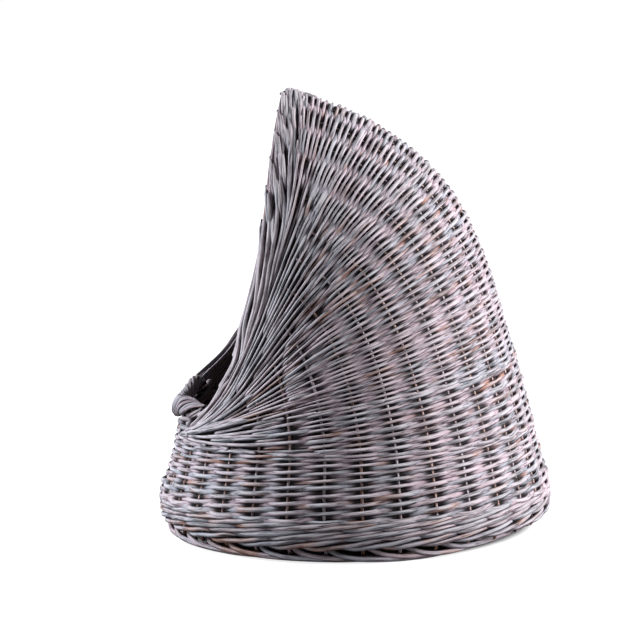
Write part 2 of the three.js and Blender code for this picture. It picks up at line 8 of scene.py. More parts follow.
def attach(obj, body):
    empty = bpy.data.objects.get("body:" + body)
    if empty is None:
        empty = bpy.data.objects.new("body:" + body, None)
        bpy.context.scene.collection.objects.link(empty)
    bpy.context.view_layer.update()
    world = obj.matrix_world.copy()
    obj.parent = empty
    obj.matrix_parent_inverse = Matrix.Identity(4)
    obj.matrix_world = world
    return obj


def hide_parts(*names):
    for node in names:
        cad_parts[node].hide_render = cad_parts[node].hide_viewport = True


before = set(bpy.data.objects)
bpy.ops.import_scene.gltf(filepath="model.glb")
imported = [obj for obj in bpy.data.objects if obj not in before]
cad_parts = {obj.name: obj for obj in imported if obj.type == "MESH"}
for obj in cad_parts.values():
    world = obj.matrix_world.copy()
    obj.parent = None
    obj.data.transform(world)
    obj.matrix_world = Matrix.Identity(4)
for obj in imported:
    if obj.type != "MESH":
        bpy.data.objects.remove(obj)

bl_info = {
    "name": "Cat basket",
    "version": (1, 0, 0),
    "blender": (4, 5, 0),
    "location": "3D View > Sidebar > Basket",
    "description": "Weaves a hooded willow cat basket round its packed model",
    "category": "Object",
}

MM = 0.001
UPWARD = np.array([0.0, 0.0, 1.0])
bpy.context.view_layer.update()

# Main sizes of the surface that the middles of the side stakes lie on.
WIDEST_RADIUS = 211 * MM
SUMMIT_HEIGHT = 492 * MM
WALE_BOTTOM = 17 * MM
WALE_TOP = 45 * MM
WALL_TOP = 114 * MM
STAKE_COUNT = 32
CORNER_ANGLE = 19.4

# Heights as shares of the summit's, then the distances from the middle line to the back and
# to the side, and the middle line's own place, as shares of the widest radius.
OUTLINE = np.array([
    (0.0, 0.948, 0.948, 0.0),
    (0.02, 0.967, 0.967, 0.0),
    (0.051, 1.0, 1.0, 0.0),
    (0.0915, 0.995, 0.995, 0.0),
    (0.234, 0.9265, 0.9265, 0.0),
    (0.423, 0.8175, 0.82, 0.0),
    (0.608, 0.692, 0.6825, -0.0285),
    (0.746, 0.543, 0.526, -0.0855),
    (0.8355, 0.37, 0.398, -0.161),
    (0.929, 0.071, 0.237, -0.261),
    (0.9755, -0.173, 0.147, -0.313),
    (1.0, -0.313, 0.0665, -0.332),
])

# Side view of the hood's rows: the share of the way from the lowest row to the rim row, then
# the slope in degrees and the handle's length, as a share of the chord, at corner and back.
ROW_SHAPES = np.array([
    (0.0, 0, 0.27, 0, 0.5),
    (0.25, 24, 0.35, 12, 0.68),
    (0.5, 26, 0.31, 21, 0.62),
    (0.75, 29, 0.28, 45, 0.6),
    (0.9, 37, 0.25, 66, 0.5),
    (1.0, 46, 0.2, 90, 0.48),
])
RIM_ROW_CORNER_STEP = np.array([12.5, 12.0]) * MM
RIM_EDGE_STEP = np.array([0.4, 13.0]) * MM
RIM_ROW_BELOW_SUMMIT = 7 * MM
RIM_EDGE_BELOW_SUMMIT = 1 * MM
RIM_EDGE_AHEAD_OF_SUMMIT = 3.7 * MM
RIM_EDGE_SHAPE = (51.7, 0.435, 76.2, 0.282)

# Weaver thickness in each course of the hood, as the height of one row at its bottom and top.
HOOD_ROW_HEIGHTS = ((4.9, 4.3), (3.6, 3.3), (4.3, 3.6), (4.7, 3.7), (4.0, 3.5), (4.0, 3.6))
WALL_ROW_HEIGHTS = (4.9, 3.3)


def smooth(stations, values):
    """Monotone cubic: a station's slope is the weighted harmonic mean of those beside it."""
    stations = np.asarray(stations, float)
    values = np.asarray(values, float)
    steps = np.diff(stations)
    slopes = np.diff(values) / steps
    tangents = np.empty_like(values)
    tangents[0], tangents[-1] = slopes[0], slopes[-1]
    before = 2 * steps[1:] + steps[:-1]
    after = steps[1:] + 2 * steps[:-1]
    same_way = slopes[:-1] * slopes[1:] > 0
    low = np.where(same_way, slopes[:-1], 1)
    high = np.where(same_way, slopes[1:], 1)
    tangents[1:-1] = np.where(same_way, (before + after) / (before / low + after / high), 0)

    def value(at):
        at = np.clip(at, stations[0], stations[-1])
        i = np.clip(np.searchsorted(stations, at, side="right") - 1, 0, len(steps) - 1)
        t = (at - stations[i]) / steps[i]
        rise = t * t * (3 - 2 * t)
        bend = steps[i] * t * (1 - t) * (tangents[i] * (1 - t) - tangents[i + 1] * t)
        return values[i] + (values[i + 1] - values[i]) * rise + bend

    return value


back_at, side_at, middle_at = (
    smooth(OUTLINE[:, 0] * SUMMIT_HEIGHT, OUTLINE[:, k] * WIDEST_RADIUS) for k in (1, 2, 3)
)


def unit(vectors):
    return vectors / np.maximum(np.linalg.norm(vectors, axis=-1, keepdims=True), 1e-12)


def ease(low, high, value):
    """0 below low, 1 above high, and t squared times (3 - 2 t) between."""
    t = np.clip((value - low) / (high - low), 0, 1)
    return t * t * (3 - 2 * t)


def lengths_along(points):
    """Distance along a path at each of its points."""
    steps = np.linalg.norm(np.diff(points, axis=-2), axis=-1)
    start = np.zeros(steps.shape[:-1] + (1,))
    return np.concatenate([start, np.cumsum(steps, axis=-1)], axis=-1)


def points_at(at, stations, path):
    """Points of a path, straight between its stations."""
    return np.stack([np.interp(at, stations, path[:, k]) for k in range(3)], -1)


def level_direction(angle):
    """Level unit vector at an angle from the x axis."""
    return np.stack([np.cos(angle), np.sin(angle), np.zeros_like(angle)], -1)


def on_wall(side_view):
    """Points of the right half from side-view points: x is half the ellipse's width there."""
    y, z = side_view[..., 0], side_view[..., 1]
    reach = (y - middle_at(z)) / (back_at(z) - middle_at(z))
    return np.stack([side_at(z) * np.sqrt(np.clip(1 - reach * reach, 0, None)), y, z], axis=-1)


def side_curve(start, end, shape, t):
    """Cubic with the given slopes in degrees at its ends and handles as shares of its chord."""
    leave, leave_reach, arrive, arrive_reach = shape
    chord = np.linalg.norm(end - start, axis=-1)[..., None]
    leave, arrive = np.radians(leave), np.radians(arrive)
    first = start + chord * np.stack([np.cos(leave), np.sin(leave)], -1) * leave_reach[..., None]
    last = end - chord * np.stack([np.cos(arrive), np.sin(arrive)], -1) * arrive_reach[..., None]
    start, first, last, end = (p[..., None, :] for p in (start, first, last, end))
    t = t[:, None]
    return (start * (1 - t) ** 3 + 3 * first * t * (1 - t) ** 2
            + 3 * last * t * t * (1 - t) + end * t ** 3)


def outward_normals(points, down_rows, along_rows):
    """Cross product of the two directions of a sheet, turned away from the upright axis."""
    normals = unit(np.cross(down_rows, along_rows))
    inward = np.sum(normals * points * (1, 1, 0.3), axis=-1, keepdims=True) < 0
    return np.where(inward, -normals, normals)


# The hood is held as a table: share of the way up the rows by share of the way from back to
# corner along a row.
SHARES = np.linspace(0, 1, 241)
REACHES = np.linspace(0, 1, 361)
LOW_CORNER = np.array([-back_at(WALL_TOP) * math.cos(math.radians(CORNER_ANGLE)), WALL_TOP])
HOOD_SPAN = 180 - CORNER_ANGLE


def hood_table():
    """Rows are cubics in side view, lifted on to the wall and cut at even distances."""
    heights = np.linspace(WALL_TOP, SUMMIT_HEIGHT - RIM_ROW_BELOW_SUMMIT, 401)
    back = lengths_along(np.stack([back_at(heights), heights], -1))
    end_heights = np.interp(SHARES * back[-1], back, heights)
    starts = LOW_CORNER + SHARES[:, None] * RIM_ROW_CORNER_STEP
    ends = np.stack([back_at(end_heights), end_heights], -1)
    shape = [smooth(ROW_SHAPES[:, 0], ROW_SHAPES[:, k])(SHARES) for k in (1, 2, 3, 4)]
    t = 1 - (1 - np.linspace(0, 1, 241)) ** 2
    rows = on_wall(side_curve(starts, ends, shape, t))
    walked = lengths_along(rows)
    even = [points_at((1 - REACHES) * far[-1], far, row) for row, far in zip(rows, walked)]
    return np.stack(even), back[-1]


HOOD_POINTS, HOOD_BACK_LENGTH = hood_table()
HOOD_UP = np.gradient(HOOD_POINTS, SHARES, axis=0)
HOOD_NORMALS = outward_normals(HOOD_POINTS, HOOD_UP, np.gradient(HOOD_POINTS, axis=1))
HOOD_CROWDING = np.linalg.norm(HOOD_UP, axis=-1) / HOOD_BACK_LENGTH


def look_up(table, share, place):
    """Blend of the table's four entries round a share and a place; x takes the place's side."""
    share, place = np.broadcast_arrays(share, place)
    i = np.clip(share, 0, 1) * (len(SHARES) - 1)
    j = np.clip(np.abs(place), 0, 1) * (len(REACHES) - 1)
    row = np.minimum(i.astype(int), len(SHARES) - 2)
    column = np.minimum(j.astype(int), len(REACHES) - 2)
    i, j = i - row, j - column
    if table.ndim == 3:
        i, j = i[..., None], j[..., None]
    low = table[row, column] * (1 - j) + table[row, column + 1] * j
    high = table[row + 1, column] * (1 - j) + table[row + 1, column + 1] * j
    value = low * (1 - i) + high * i
    if table.ndim == 3:
        value[..., 0] *= np.sign(place)
    return value


def place_of(turn):
    """Place along the hood's rows of a turn counted in stakes from the front's first one."""
    return (180 - (turn + 0.5) * 360 / STAKE_COUNT) / HOOD_SPAN


def turn_of(place):
    return (180 - place * HOOD_SPAN) * STAKE_COUNT / 360 - 0.5


def hood_spot(share, turn):
    """Points and outward normals of the hood."""
    place = place_of(turn)
    return look_up(HOOD_POINTS, share, place), unit(look_up(HOOD_NORMALS, share, place))


FOOT_SWELL_FRONT = 5.5 * MM
FOOT_SWELL_BACK = 2.5 * MM
FOOT_SWELL_TOP = 75 * MM


def foot_swelling(height, forward):
    """The wall's foot swells by the square of its direction's share to the front or back."""
    front = FOOT_SWELL_FRONT * np.clip(-forward, 0, 1) ** 2
    back = FOOT_SWELL_BACK * np.clip(forward, 0, 1) ** 2
    return (front + back) * ease(FOOT_SWELL_TOP, WALE_TOP, height)


def spoke_at(turn):
    """Level unit vector from the middle, at a turn counted in stakes from the front's first."""
    angle = np.radians((turn + 0.5) * 360 / STAKE_COUNT)
    return np.stack([np.sin(angle), -np.cos(angle), np.zeros_like(angle)], -1)


def wall_spot(height, turn):
    """Points and outward normals of the round wall: the outline turned about the middle."""
    height, turn = np.broadcast_arrays(height, turn)
    spoke = spoke_at(turn)
    radius = back_at(height) + foot_swelling(height, spoke[..., 1])
    points = spoke * radius[..., None]
    points[..., 2] = height
    normals = spoke.copy()
    normals[..., 2] = (back_at(height - MM) - back_at(height + MM)) / (2 * MM)
    return points, unit(normals)


def rim_table():
    """The last row, and the nearest point of the entrance edge to each of its points."""
    start = LOW_CORNER + RIM_ROW_CORNER_STEP + RIM_EDGE_STEP
    summit = np.array([OUTLINE[-1, 1] * WIDEST_RADIUS, SUMMIT_HEIGHT])
    end = summit - (RIM_EDGE_AHEAD_OF_SUMMIT, RIM_EDGE_BELOW_SUMMIT)
    shape = [np.asarray(value, float) for value in RIM_EDGE_SHAPE]
    edge = on_wall(side_curve(start, end, shape, np.linspace(0, 1, 401)))
    row = HOOD_POINTS[-1]
    nearest = np.argmin(np.linalg.norm(row[:, None] - edge[None], axis=-1), axis=1)
    return row, edge[nearest]


RIM_ROW, RIM_EDGE = rim_table()


def rim_spot(across, place):
    """Between the last row (across 0) and the entrance edge (1), with the hood's normals."""
    j = np.clip(np.abs(place), 0, 1)
    row = points_at(j, REACHES, RIM_ROW)
    edge = points_at(j, REACHES, RIM_EDGE)
    points = row + (edge - row) * np.asarray(across)[..., None]
    points[..., 0] *= np.sign(place)
    return points, unit(look_up(HOOD_NORMALS, np.ones_like(j), place))


ROD_SIDES = 8
ROD_END_REACH = 0.6
ROD_END_SIZE = 0.65


def rod(centres, normals, radius, tone, lift=0.0):
    """A rod: at each centre a ring of corners, centre + radius (cos a normal + sin a side).

    Both ends are rounded by a smaller ring further on, its reach and size as shares of the
    radius. tone holds the rod's own lightness, hue and seed; lift is how far each centre
    stands outside the weave's middle, in metres.
    """
    count = len(centres) + 2
    normals = np.broadcast_to(normals, centres.shape)
    radius = np.broadcast_to(np.asarray(radius, float), (count - 2,))
    lift = np.broadcast_to(np.asarray(lift, float), (count - 2,))
    ends = unit(np.stack([centres[0] - centres[1], centres[-1] - centres[-2]]))
    first = centres[0] + ends[0] * radius[0] * ROD_END_REACH
    last = centres[-1] + ends[1] * radius[-1] * ROD_END_REACH
    centres = np.concatenate([first[None], centres, last[None]])
    normals = np.concatenate([normals[:1], normals, normals[-1:]])
    radius = np.concatenate([radius[:1] * ROD_END_SIZE, radius, radius[-1:] * ROD_END_SIZE])
    lift = np.concatenate([lift[:1], lift, lift[-1:]])
    tangents = unit(np.gradient(centres, axis=0))
    across = unit(np.cross(tangents, normals))
    normals = np.cross(across, tangents)
    angle = np.arange(ROD_SIDES) * (2 * np.pi / ROD_SIDES)
    cos, sin = np.cos(angle), np.sin(angle)
    spread = cos[:, None] * normals[:, None] + sin[:, None] * across[:, None]
    corners = centres[:, None] + radius[:, None, None] * spread
    along = np.broadcast_to(lengths_along(centres)[:, None], (count, ROD_SIDES))
    place = np.stack([along, radius[:, None] * cos, radius[:, None] * sin], -1)
    # The depth sets the painted shade of the hollows and the painted highlight of the ridges.
    depth = lift[:, None] + radius[:, None] * cos
    here = np.arange((count - 1) * ROD_SIDES).reshape(-1, ROD_SIDES)
    beside = np.roll(here, -1, axis=1)
    quads = np.stack([here, beside, beside + ROD_SIDES, here + ROD_SIDES], -1)
    return {
        "corners": corners.reshape(-1, 3),
        "place": place.reshape(-1, 3),
        "depth": depth.reshape(-1),
        # How far a corner faces up: it sets the painted highlight on the rods' tops and the painted
        # shade on their undersides.
        "upper": spread[..., 2].reshape(-1),
        "tone": np.broadcast_to(np.asarray(tone, float), (count * ROD_SIDES, 3)),
        "quads": quads.reshape(-1, 4),
        "caps": np.stack([here[0, ::-1], here[-1] + ROD_SIDES]),
    }


def lifted_rod(points, normals, radius, random, lift):
    """A rod with a tone of its own, whose centres stand out from the points by its lift."""
    lift = np.broadcast_to(np.asarray(lift, float), (len(points),))
    return rod(points + normals * lift[:, None], normals, radius, random.random(3), lift)


def put_in_scene(name, data):
    """An object that holds a mesh, a lamp or a camera."""
    thing = bpy.data.objects.new(name, data)
    bpy.context.collection.objects.link(thing)
    return thing


def make_piece(name, rods, wood, slot, *nodes):
    """One mesh of many rods, which stands for CAD nodes and keeps each rod's values."""
    def joined(key):
        return np.concatenate([part[key] for part in rods])

    starts = np.cumsum([0] + [len(part["corners"]) for part in rods[:-1]])
    quads = np.concatenate([part["quads"] + start for part, start in zip(rods, starts)])
    caps = np.concatenate([part["caps"] + start for part, start in zip(rods, starts)])
    corners = joined("corners").astype(np.float32)
    loops = np.concatenate([quads.ravel(), caps.ravel()])
    first_loops = np.concatenate([
        np.arange(len(quads)) * 4,
        len(quads) * 4 + np.arange(len(caps)) * ROD_SIDES,
    ])
    mesh = bpy.data.meshes.new(name)
    mesh.vertices.add(len(corners))
    mesh.vertices.foreach_set("co", corners.ravel())
    mesh.loops.add(len(loops))
    mesh.loops.foreach_set("vertex_index", loops.astype(np.int32))
    mesh.polygons.add(len(first_loops))
    mesh.polygons.foreach_set("loop_start", first_loops.astype(np.int32))
    mesh.polygons.foreach_set("use_smooth", np.arange(len(first_loops)) < len(quads))
    for key, kind, field in (
        ("place", "FLOAT_VECTOR", "vector"),
        ("tone", "FLOAT_VECTOR", "vector"),
        ("depth", "FLOAT", "value"),
        ("upper", "FLOAT", "value"),
    ):
        layer = mesh.attributes.new("rod_" + key, kind, "POINT")
        layer.data.foreach_set(field, joined(key).astype(np.float32).ravel())
    mesh.update(calc_edges=True)
    mesh.validate()
    mesh.materials.append(willow(wood))
    piece = put_in_scene(name, mesh)
    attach(piece, "root")
    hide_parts(*nodes)


def wander(random, turns, size, spacing=1.7):
    """A slow random walk along a rod: random values joined by smooth steps."""
    stations = np.arange(turns[0] - spacing, turns[-1] + 2 * spacing, spacing)
    return smooth(stations, random.normal(0, size, len(stations)))(turns)


STEPS_PER_STAKE = 9
STROKE_RISE = 0.25
STROKE_AHEAD = 1.2
STROKE_BEHIND = 1.9
BEHIND_FULLER = 0.45
AHEAD_THINNER = 0.1
WEAVE_AHEAD = 0.8 * MM
WEAVER_BEND = 0.92
WEAVER_OVERLAP = 0.95


def stroke(phase):
    """1 in front of a stake and -1 behind it: a cosine, drawn towards 0 between the stakes."""
    wave = np.cos(np.pi * phase)
    return np.where(wave > 0, np.abs(wave) ** STROKE_AHEAD, -np.abs(wave) ** STROKE_BEHIND)


def stroke_fullness(phase):
    """A weaver is thinner in front of a stake and fuller from there to behind the next."""
    wave = np.cos(np.pi * phase)
    return 1 - AHEAD_THINNER * ease(0.2, 1, wave) + BEHIND_FULLER * ease(1, -0.6, wave)


def rows_climbed(steps, rows):
    """A weaver climbs one row a stake, less where it lies in front and more behind."""
    return np.clip(steps - STROKE_RISE * np.sin(np.pi * steps) / np.pi, 0, rows)


def share_of_rows(climbed, rows, heights):
    """Share of the course's height below a row, where rows thin evenly from first to last."""
    low, high = heights
    return (low * climbed + (high - low) * climbed ** 2 / (2 * rows)) / (rows * (low + high) / 2)


def row_count(height, heights):
    return round(height / (sum(heights) / 2 * MM))


def crowding_at(share, turn):
    return look_up(HOOD_CROWDING, share, place_of(turn))


HIGHEST_RANK = 6


def rank_of(number):
    """How often a whole number can be halved: the weavers of low rank end first."""
    number = abs(int(number)) or 2 ** HIGHEST_RANK
    return min((number & -number).bit_length() - 1, HIGHEST_RANK)


WALL_LEVEL_WANDER = 0.55 * MM
WALL_DENSE_FULLER = 0.24
WALL_DENSE_STRAIGHTER = 0.28


def wall_weavers(sizes, random):
    """Randing: weaver j starts beside stake j and passes in front of every second stake.

    At the back and the front the weavers are fuller and bend less.
    """
    low, high = WALE_TOP, WALL_TOP
    heights = WALL_ROW_HEIGHTS
    rows = row_count(high - low, heights)
    rods = []
    for start in range(STAKE_COUNT):
        steps = np.linspace(-WEAVER_OVERLAP, rows + WEAVER_OVERLAP, (rows + 2) * STEPS_PER_STAKE)
        climbed = rows_climbed(steps, rows)
        row_height = np.interp(climbed, (0, rows), heights) * MM
        radius = row_height * sizes.weaver_fullness / 2 * random.normal(1, 0.09)
        radius = radius * (1 + wander(random, steps, 0.05, 3))
        level = low + (high - low) * share_of_rows(climbed, rows, heights)
        level += wander(random, steps, WALL_LEVEL_WANDER)
        points, normals = wall_spot(level, steps + start)
        dense = ease(0, 0.8, normals[:, 1]) + 0.9 * ease(0.1, 0.65, -normals[:, 1])
        radius = radius * (1 + WALL_DENSE_FULLER * dense)
        swing = sizes.stake_radius + radius * (WEAVER_BEND - WALL_DENSE_STRAIGHTER * dense)
        lift = swing * stroke(steps) * (1 + wander(random, steps, 0.1)) + WEAVE_AHEAD
        radius = radius * stroke_fullness(steps)
        rods.append(lifted_rod(points, normals, radius, random, lift))
    return rods


HOOD_SHARE_WANDER = 0.0009
HOOD_DENSE_FULLER = 0.2
HOOD_DENSE_STRAIGHTER = 0.3
HOOD_TOP_THINNER = 0.14
HOOD_CROWDED_THINNER = 0.28
HOOD_WOVEN_ROOM = (0.36, 0.56)
HOOD_FLOAT_REACH = 0.62
HOOD_FLOAT_STEP = 0.1
HOOD_TUCK_LENGTH = 28 * MM
HOOD_TUCK_DEPTH = 4 * MM
HOOD_TUCK_THINNER = 0.3


def roomy_stretch(room, turns):
    """The stretch of a weaver round the hood's back, as far as its row has room both ways."""
    middle = np.argmin(np.abs(turns - np.clip(turn_of(0), turns[0], turns[-1])))
    first = middle - np.argmin(np.append(room[middle::-1], False)) + 1
    last = middle + np.argmin(np.append(room[middle:], False))
    return slice(first, max(first, last))


def hood_weaver(steps, start, course, rows, number, sizes, random):
    """One weaver of a course, which starts beside a stake and has a number of its own.

    Where a row's room falls below a limit, weavers of low rank sink behind the others and end
    where it has halved again. Those left shift by a stake where their number asks it, so that
    they still pass in front of every stake in turn. Nearer the corner they float in front,
    and their ends are tucked in.
    """
    courses = len(HOOD_ROW_HEIGHTS)
    heights = HOOD_ROW_HEIGHTS[course]
    rank = rank_of(number)
    limit = sizes.least_room if rank == 0 else 1.5 * sizes.least_room / 2 ** rank
    climbed = rows_climbed(steps, rows)
    share = (course + share_of_rows(climbed, rows, heights)) / courses
    turns = steps + start
    room = crowding_at(share, turns)
    stretch = roomy_stretch(room > 0.5 * limit, turns)
    if stretch.stop - stretch.start < STEPS_PER_STAKE:
        return None
    steps, climbed, share, turns, room = (
        values[stretch] for values in (steps, climbed, share, turns, room)
    )
    row_height = np.interp(climbed, (0, rows), heights) * MM
    share = share + wander(random, steps, HOOD_SHARE_WANDER)
    radius = row_height * sizes.weaver_fullness / 2 * random.normal(1, 0.11)
    radius = radius * np.clip(0.5 + 0.5 * room, 1 - HOOD_CROWDED_THINNER, 1)
    radius = radius * (1 + wander(random, steps, 0.05, 3))
    points, normals = hood_spot(share, turns)
    dense = ease(0, 0.6, normals[:, 1]) * ease(0.6, 0.9, room)
    radius = radius * (1 + HOOD_DENSE_FULLER * dense)
    radius = radius * (1 - HOOD_TOP_THINNER * ease(0.8, 1, share))
    swing = sizes.stake_radius + radius * (WEAVER_BEND - HOOD_DENSE_STRAIGHTER * dense)
    shifted = 1 - ease(0.9 * sizes.least_room, 1.1 * sizes.least_room, room)
    phase = steps + shifted * (number // 2 % 2 if rank else 0)
    woven = ease(*HOOD_WOVEN_ROOM, room)
    floating = swing * (HOOD_FLOAT_REACH + HOOD_FLOAT_STEP * rank) + random.normal(0, 0.9 * MM)
    floating = floating + wander(random, steps, 0.6 * MM)
    lift = woven * swing * stroke(phase) + (1 - woven) * floating + WEAVE_AHEAD
    radius = radius * (1 - woven + woven * stroke_fullness(phase))
    in_front = ease(0.88 * limit, limit, room)
    lift = in_front * lift - (1 - in_front) * (sizes.stake_radius + radius)
    walked = lengths_along(points)
    end = np.minimum(walked, walked[-1] - walked)
    tucked = (1 - ease(0, HOOD_TUCK_LENGTH, end)) * (1 - woven)
    lift = lift - tucked * HOOD_TUCK_DEPTH
    radius = radius * (1 - HOOD_TUCK_THINNER * tucked)
    return lifted_rod(points, normals, radius, random, lift)


def hood_weavers(course, rows_below, sizes, random):
    """The wall's weave on the hood, where the rows crowd together towards the corners."""
    rows = row_count(HOOD_BACK_LENGTH / len(HOOD_ROW_HEIGHTS), HOOD_ROW_HEIGHTS[course])
    first_turn, last_turn = turn_of(1), turn_of(-1)
    rods = []
    for start in range(math.ceil(first_turn - rows), math.floor(last_turn)):
        begin = max(start - WEAVER_OVERLAP, first_turn)
        finish = min(start + rows + WEAVER_OVERLAP, last_turn)
        steps = np.arange(begin, finish, 1 / STEPS_PER_STAKE) - start
        number = rows_below - start
        rods.append(hood_weaver(steps, start, course, rows, number, sizes, random))
    return [part for part in rods if part], rows


WALE_ROUNDS = 3
WALE_RODS = 3
WALE_FIRST_STAKE = 3
WALE_STAKES_FURTHER = 5
WALE_HOOP_LEVELS = np.linspace(24, 44, 5) * MM
WALE_HOOP_DEPTH = 4 * MM
WALE_HOOP_RADIUS = 2.6 * MM


def wale_rods(sizes, random):
    """Three-rod wale: each rod passes in front of two stakes and behind the third.

    t counts stakes since the rod was last behind one. It stands out by a bump that is -1
    behind a stake and 1 in front. Its level falls behind the stakes and rises in front, by
    the sine of a third of a turn a stake and a quarter of the sine of twice that. Plain
    hoops fill the inside.
    """
    rods = []
    pitch = (WALE_TOP - WALE_BOTTOM) / (2 * WALE_ROUNDS)
    swing = sizes.stake_radius + sizes.wale_radius * 0.9
    for turn in range(WALE_ROUNDS):
        start = WALE_FIRST_STAKE + WALE_STAKES_FURTHER * turn
        for number in range(WALE_RODS):
            periods = 10 if number == WALE_RODS - 1 else 11
            t = np.linspace(0, WALE_RODS * periods, WALE_RODS * periods * STEPS_PER_STAKE)
            nearest = np.abs((t + 1.5) % 3 - 1.5)
            lift = swing * (1 - 2 * np.where(nearest < 1, 0.5 + 0.5 * np.cos(np.pi * nearest), 0))
            lift = lift * (1 + wander(random, t, 0.06))
            third = 2 * np.pi * t / WALE_RODS
            swell = 0.5 - 0.77 * (np.sin(third) + 0.25 * np.sin(2 * third))
            level = WALE_BOTTOM + pitch * (2 * turn + 0.5 + swell)
            level += wander(random, t, 0.35 * MM)
            points, normals = wall_spot(level, t + start + number)
            radius = sizes.wale_radius * random.normal(1, 0.06) * (1 + wander(random, t, 0.05, 6))
            rods.append(lifted_rod(points, normals, radius, random, lift))
    # The hoops lie deep enough to be dark with painted shade.
    t = np.linspace(0, STAKE_COUNT, 400)
    for level in WALE_HOOP_LEVELS:
        points, normals = wall_spot(level, t)
        rods.append(lifted_rod(points, normals, WALE_HOOP_RADIUS, random, -WALE_HOOP_DEPTH))
    return rods


# A foot rod's way round under the wall, by stakes from its start: radius, height.
FOOT_WAY = np.array([
    (0.0, 196, 16),
    (0.25, 206, 12.5),
    (0.55, 210, 8.6),
    (1.0, 210.5, 5.8),
    (2.0, 208.5, 4.2),
    (3.0, 204, 3.3),
    (3.6, 197, 4.8),
])
FOOT_RAISED_SIDE = np.array([0.35, 0.94, 0])
FOOT_RAISE = 4.5 * MM
FOOT_RAISED_INSET = 8 * MM
FOOT_FRONT_REACH = 3.5 * MM
FOOT_DEPTH = 2.5 * MM


def foot_rods(sizes, random):
    """Each rod hooks out from under the wale beside its stake and sweeps on under the next.

    On one side of the back the border lies a little higher and further in.
    """
    way_radius = smooth(FOOT_WAY[:, 0], FOOT_WAY[:, 1] * MM)
    way_height = smooth(FOOT_WAY[:, 0], FOOT_WAY[:, 2] * MM)
    rods = []
    for start in range(STAKE_COUNT):
        t = np.linspace(0, FOOT_WAY[-1, 0] + random.uniform(-0.3, 0.1), 40)
        spoke = spoke_at(start + t + random.normal(0, 0.06))
        level = way_height(t) + random.normal(0, 0.5 * MM) + wander(random, t, 0.4 * MM)
        raised = ease(0.7, 1, spoke @ FOOT_RAISED_SIDE)
        level = level + FOOT_RAISE * raised
        reach = way_radius(t) - FOOT_RAISED_INSET * raised
        reach = reach + FOOT_FRONT_REACH * np.clip(-spoke[:, 1], 0, 1) ** 2
        points = spoke * (reach + random.normal(0, 0.7 * MM))[:, None]
        radius = sizes.foot_radius * random.normal(1, 0.07)
        points[:, 2] = np.maximum(level, radius + 0.2 * MM)
        rods.append(rod(points, spoke, radius, random.random(3), FOOT_DEPTH))
    return rods


LIP_END_ANGLES = (-26, 31)
LIP_LEVEL_ANGLE = 7
LIP_RISE_PER_DEGREE = 0.75 * MM
LIP_BOTTOM = 126 * MM
LIP_HALF_HEIGHT = 11.5 * MM
LIP_HALF_DEPTH = 8 * MM
LIP_AHEAD = 8 * MM
LIP_FAR_RISE = 7 * MM
LIP_STRANDS = 9
LIP_LEAD = 88 * MM
LIP_STRAND_DEPTH = 3 * MM
# The core lies so deep in the rope that it is coloured with painted shade.
LIP_CORE_DEPTH = -12 * MM
LIP_CORE_TONE = (0.5, 0.5, 0.5)

# How far each end of the lip is tucked down and in.
LIP_RIGHT_TUCK = np.array([8, 10]) * MM
LIP_LEFT_TUCK = np.array([20, 5]) * MM


def lip_rise(degrees):
    """How far the lip rises towards its ends, and a little more at its left one."""
    rise = np.clip(np.abs(degrees) - LIP_LEVEL_ANGLE, 0, None) * LIP_RISE_PER_DEGREE
    return rise + LIP_FAR_RISE * ease(-8, -20, degrees)


def lip_frame(degrees):
    """Centre, outward and upward directions of the entrance lip at an angle from the front.

    Each end is tucked down and in.
    """
    points, normals = wall_spot(LIP_BOTTOM, degrees * STAKE_COUNT / 360 - 0.5)
    upward = unit(np.cross(level_direction(np.radians(degrees)), -normals))
    upward = np.where(upward[:, 2:] < 0, -upward, upward)
    right, left = ease(19, LIP_END_ANGLES[1], degrees), ease(15, -LIP_END_ANGLES[0], -degrees)
    down, inward = (LIP_RIGHT_TUCK[k] * right + LIP_LEFT_TUCK[k] * left for k in (0, 1))
    points = points + normals * (LIP_AHEAD - inward)[:, None]
    return points + upward * (LIP_HALF_HEIGHT + lip_rise(degrees) - down)[:, None], normals, upward


def lip_rods(sizes, random):
    """A rope: strands wound round the lip's line, each a turn a lead, out and over the top."""
    rods = []
    centres, outward, upward = lip_frame(np.linspace(*LIP_END_ANGLES, 170))
    walked = lengths_along(centres)
    radius = sizes.lip_radius
    size = 0.7 + 0.3 * ease(0, 25 * MM, np.minimum(walked, walked[-1] - walked))
    for number in range(LIP_STRANDS):
        winding = 2 * np.pi * (walked / LIP_LEAD + number / LIP_STRANDS)
        winding = winding + wander(random, walked / (20 * MM), 0.12)
        out = outward * ((LIP_HALF_DEPTH - radius) * size * np.cos(winding))[:, None]
        up = upward * ((LIP_HALF_HEIGHT - radius) * size * np.sin(winding))[:, None]
        line = centres + out + up
        strand = radius * size * random.normal(1, 0.04)
        rods.append(rod(line, unit(out + up), strand, random.random(3), LIP_STRAND_DEPTH))
    # A core rod, dark with painted shade, fills the rope's middle.
    core_radius = (LIP_HALF_DEPTH - 1.7 * radius) * size
    rods.append(rod(centres, upward, core_radius, LIP_CORE_TONE, LIP_CORE_DEPTH))
    return rods


FRONT_ROWS = 4
FRONT_ROW_TURNS = (-2.95, 1.95)


def front_rows(sizes, random):
    """The rows that raise the front wall to the lip, each in front of every second stake."""
    rods = []
    turn = np.linspace(*FRONT_ROW_TURNS, 80)
    height = LIP_BOTTOM - WALL_TOP + lip_rise((turn + 0.5) * 360 / STAKE_COUNT)
    for number in range(FRONT_ROWS):
        level = WALL_TOP + (number + 0.5) / FRONT_ROWS * height
        radius = (height / (2 * FRONT_ROWS) + 0.7 * MM) * random.normal(1, 0.07)
        points, normals = wall_spot(level + wander(random, turn, 0.4 * MM), turn)
        lift = (sizes.stake_radius + radius * 0.85) * np.cos(np.pi * (turn + number))
        rods.append(lifted_rod(points, normals, radius, random, lift))
    return rods


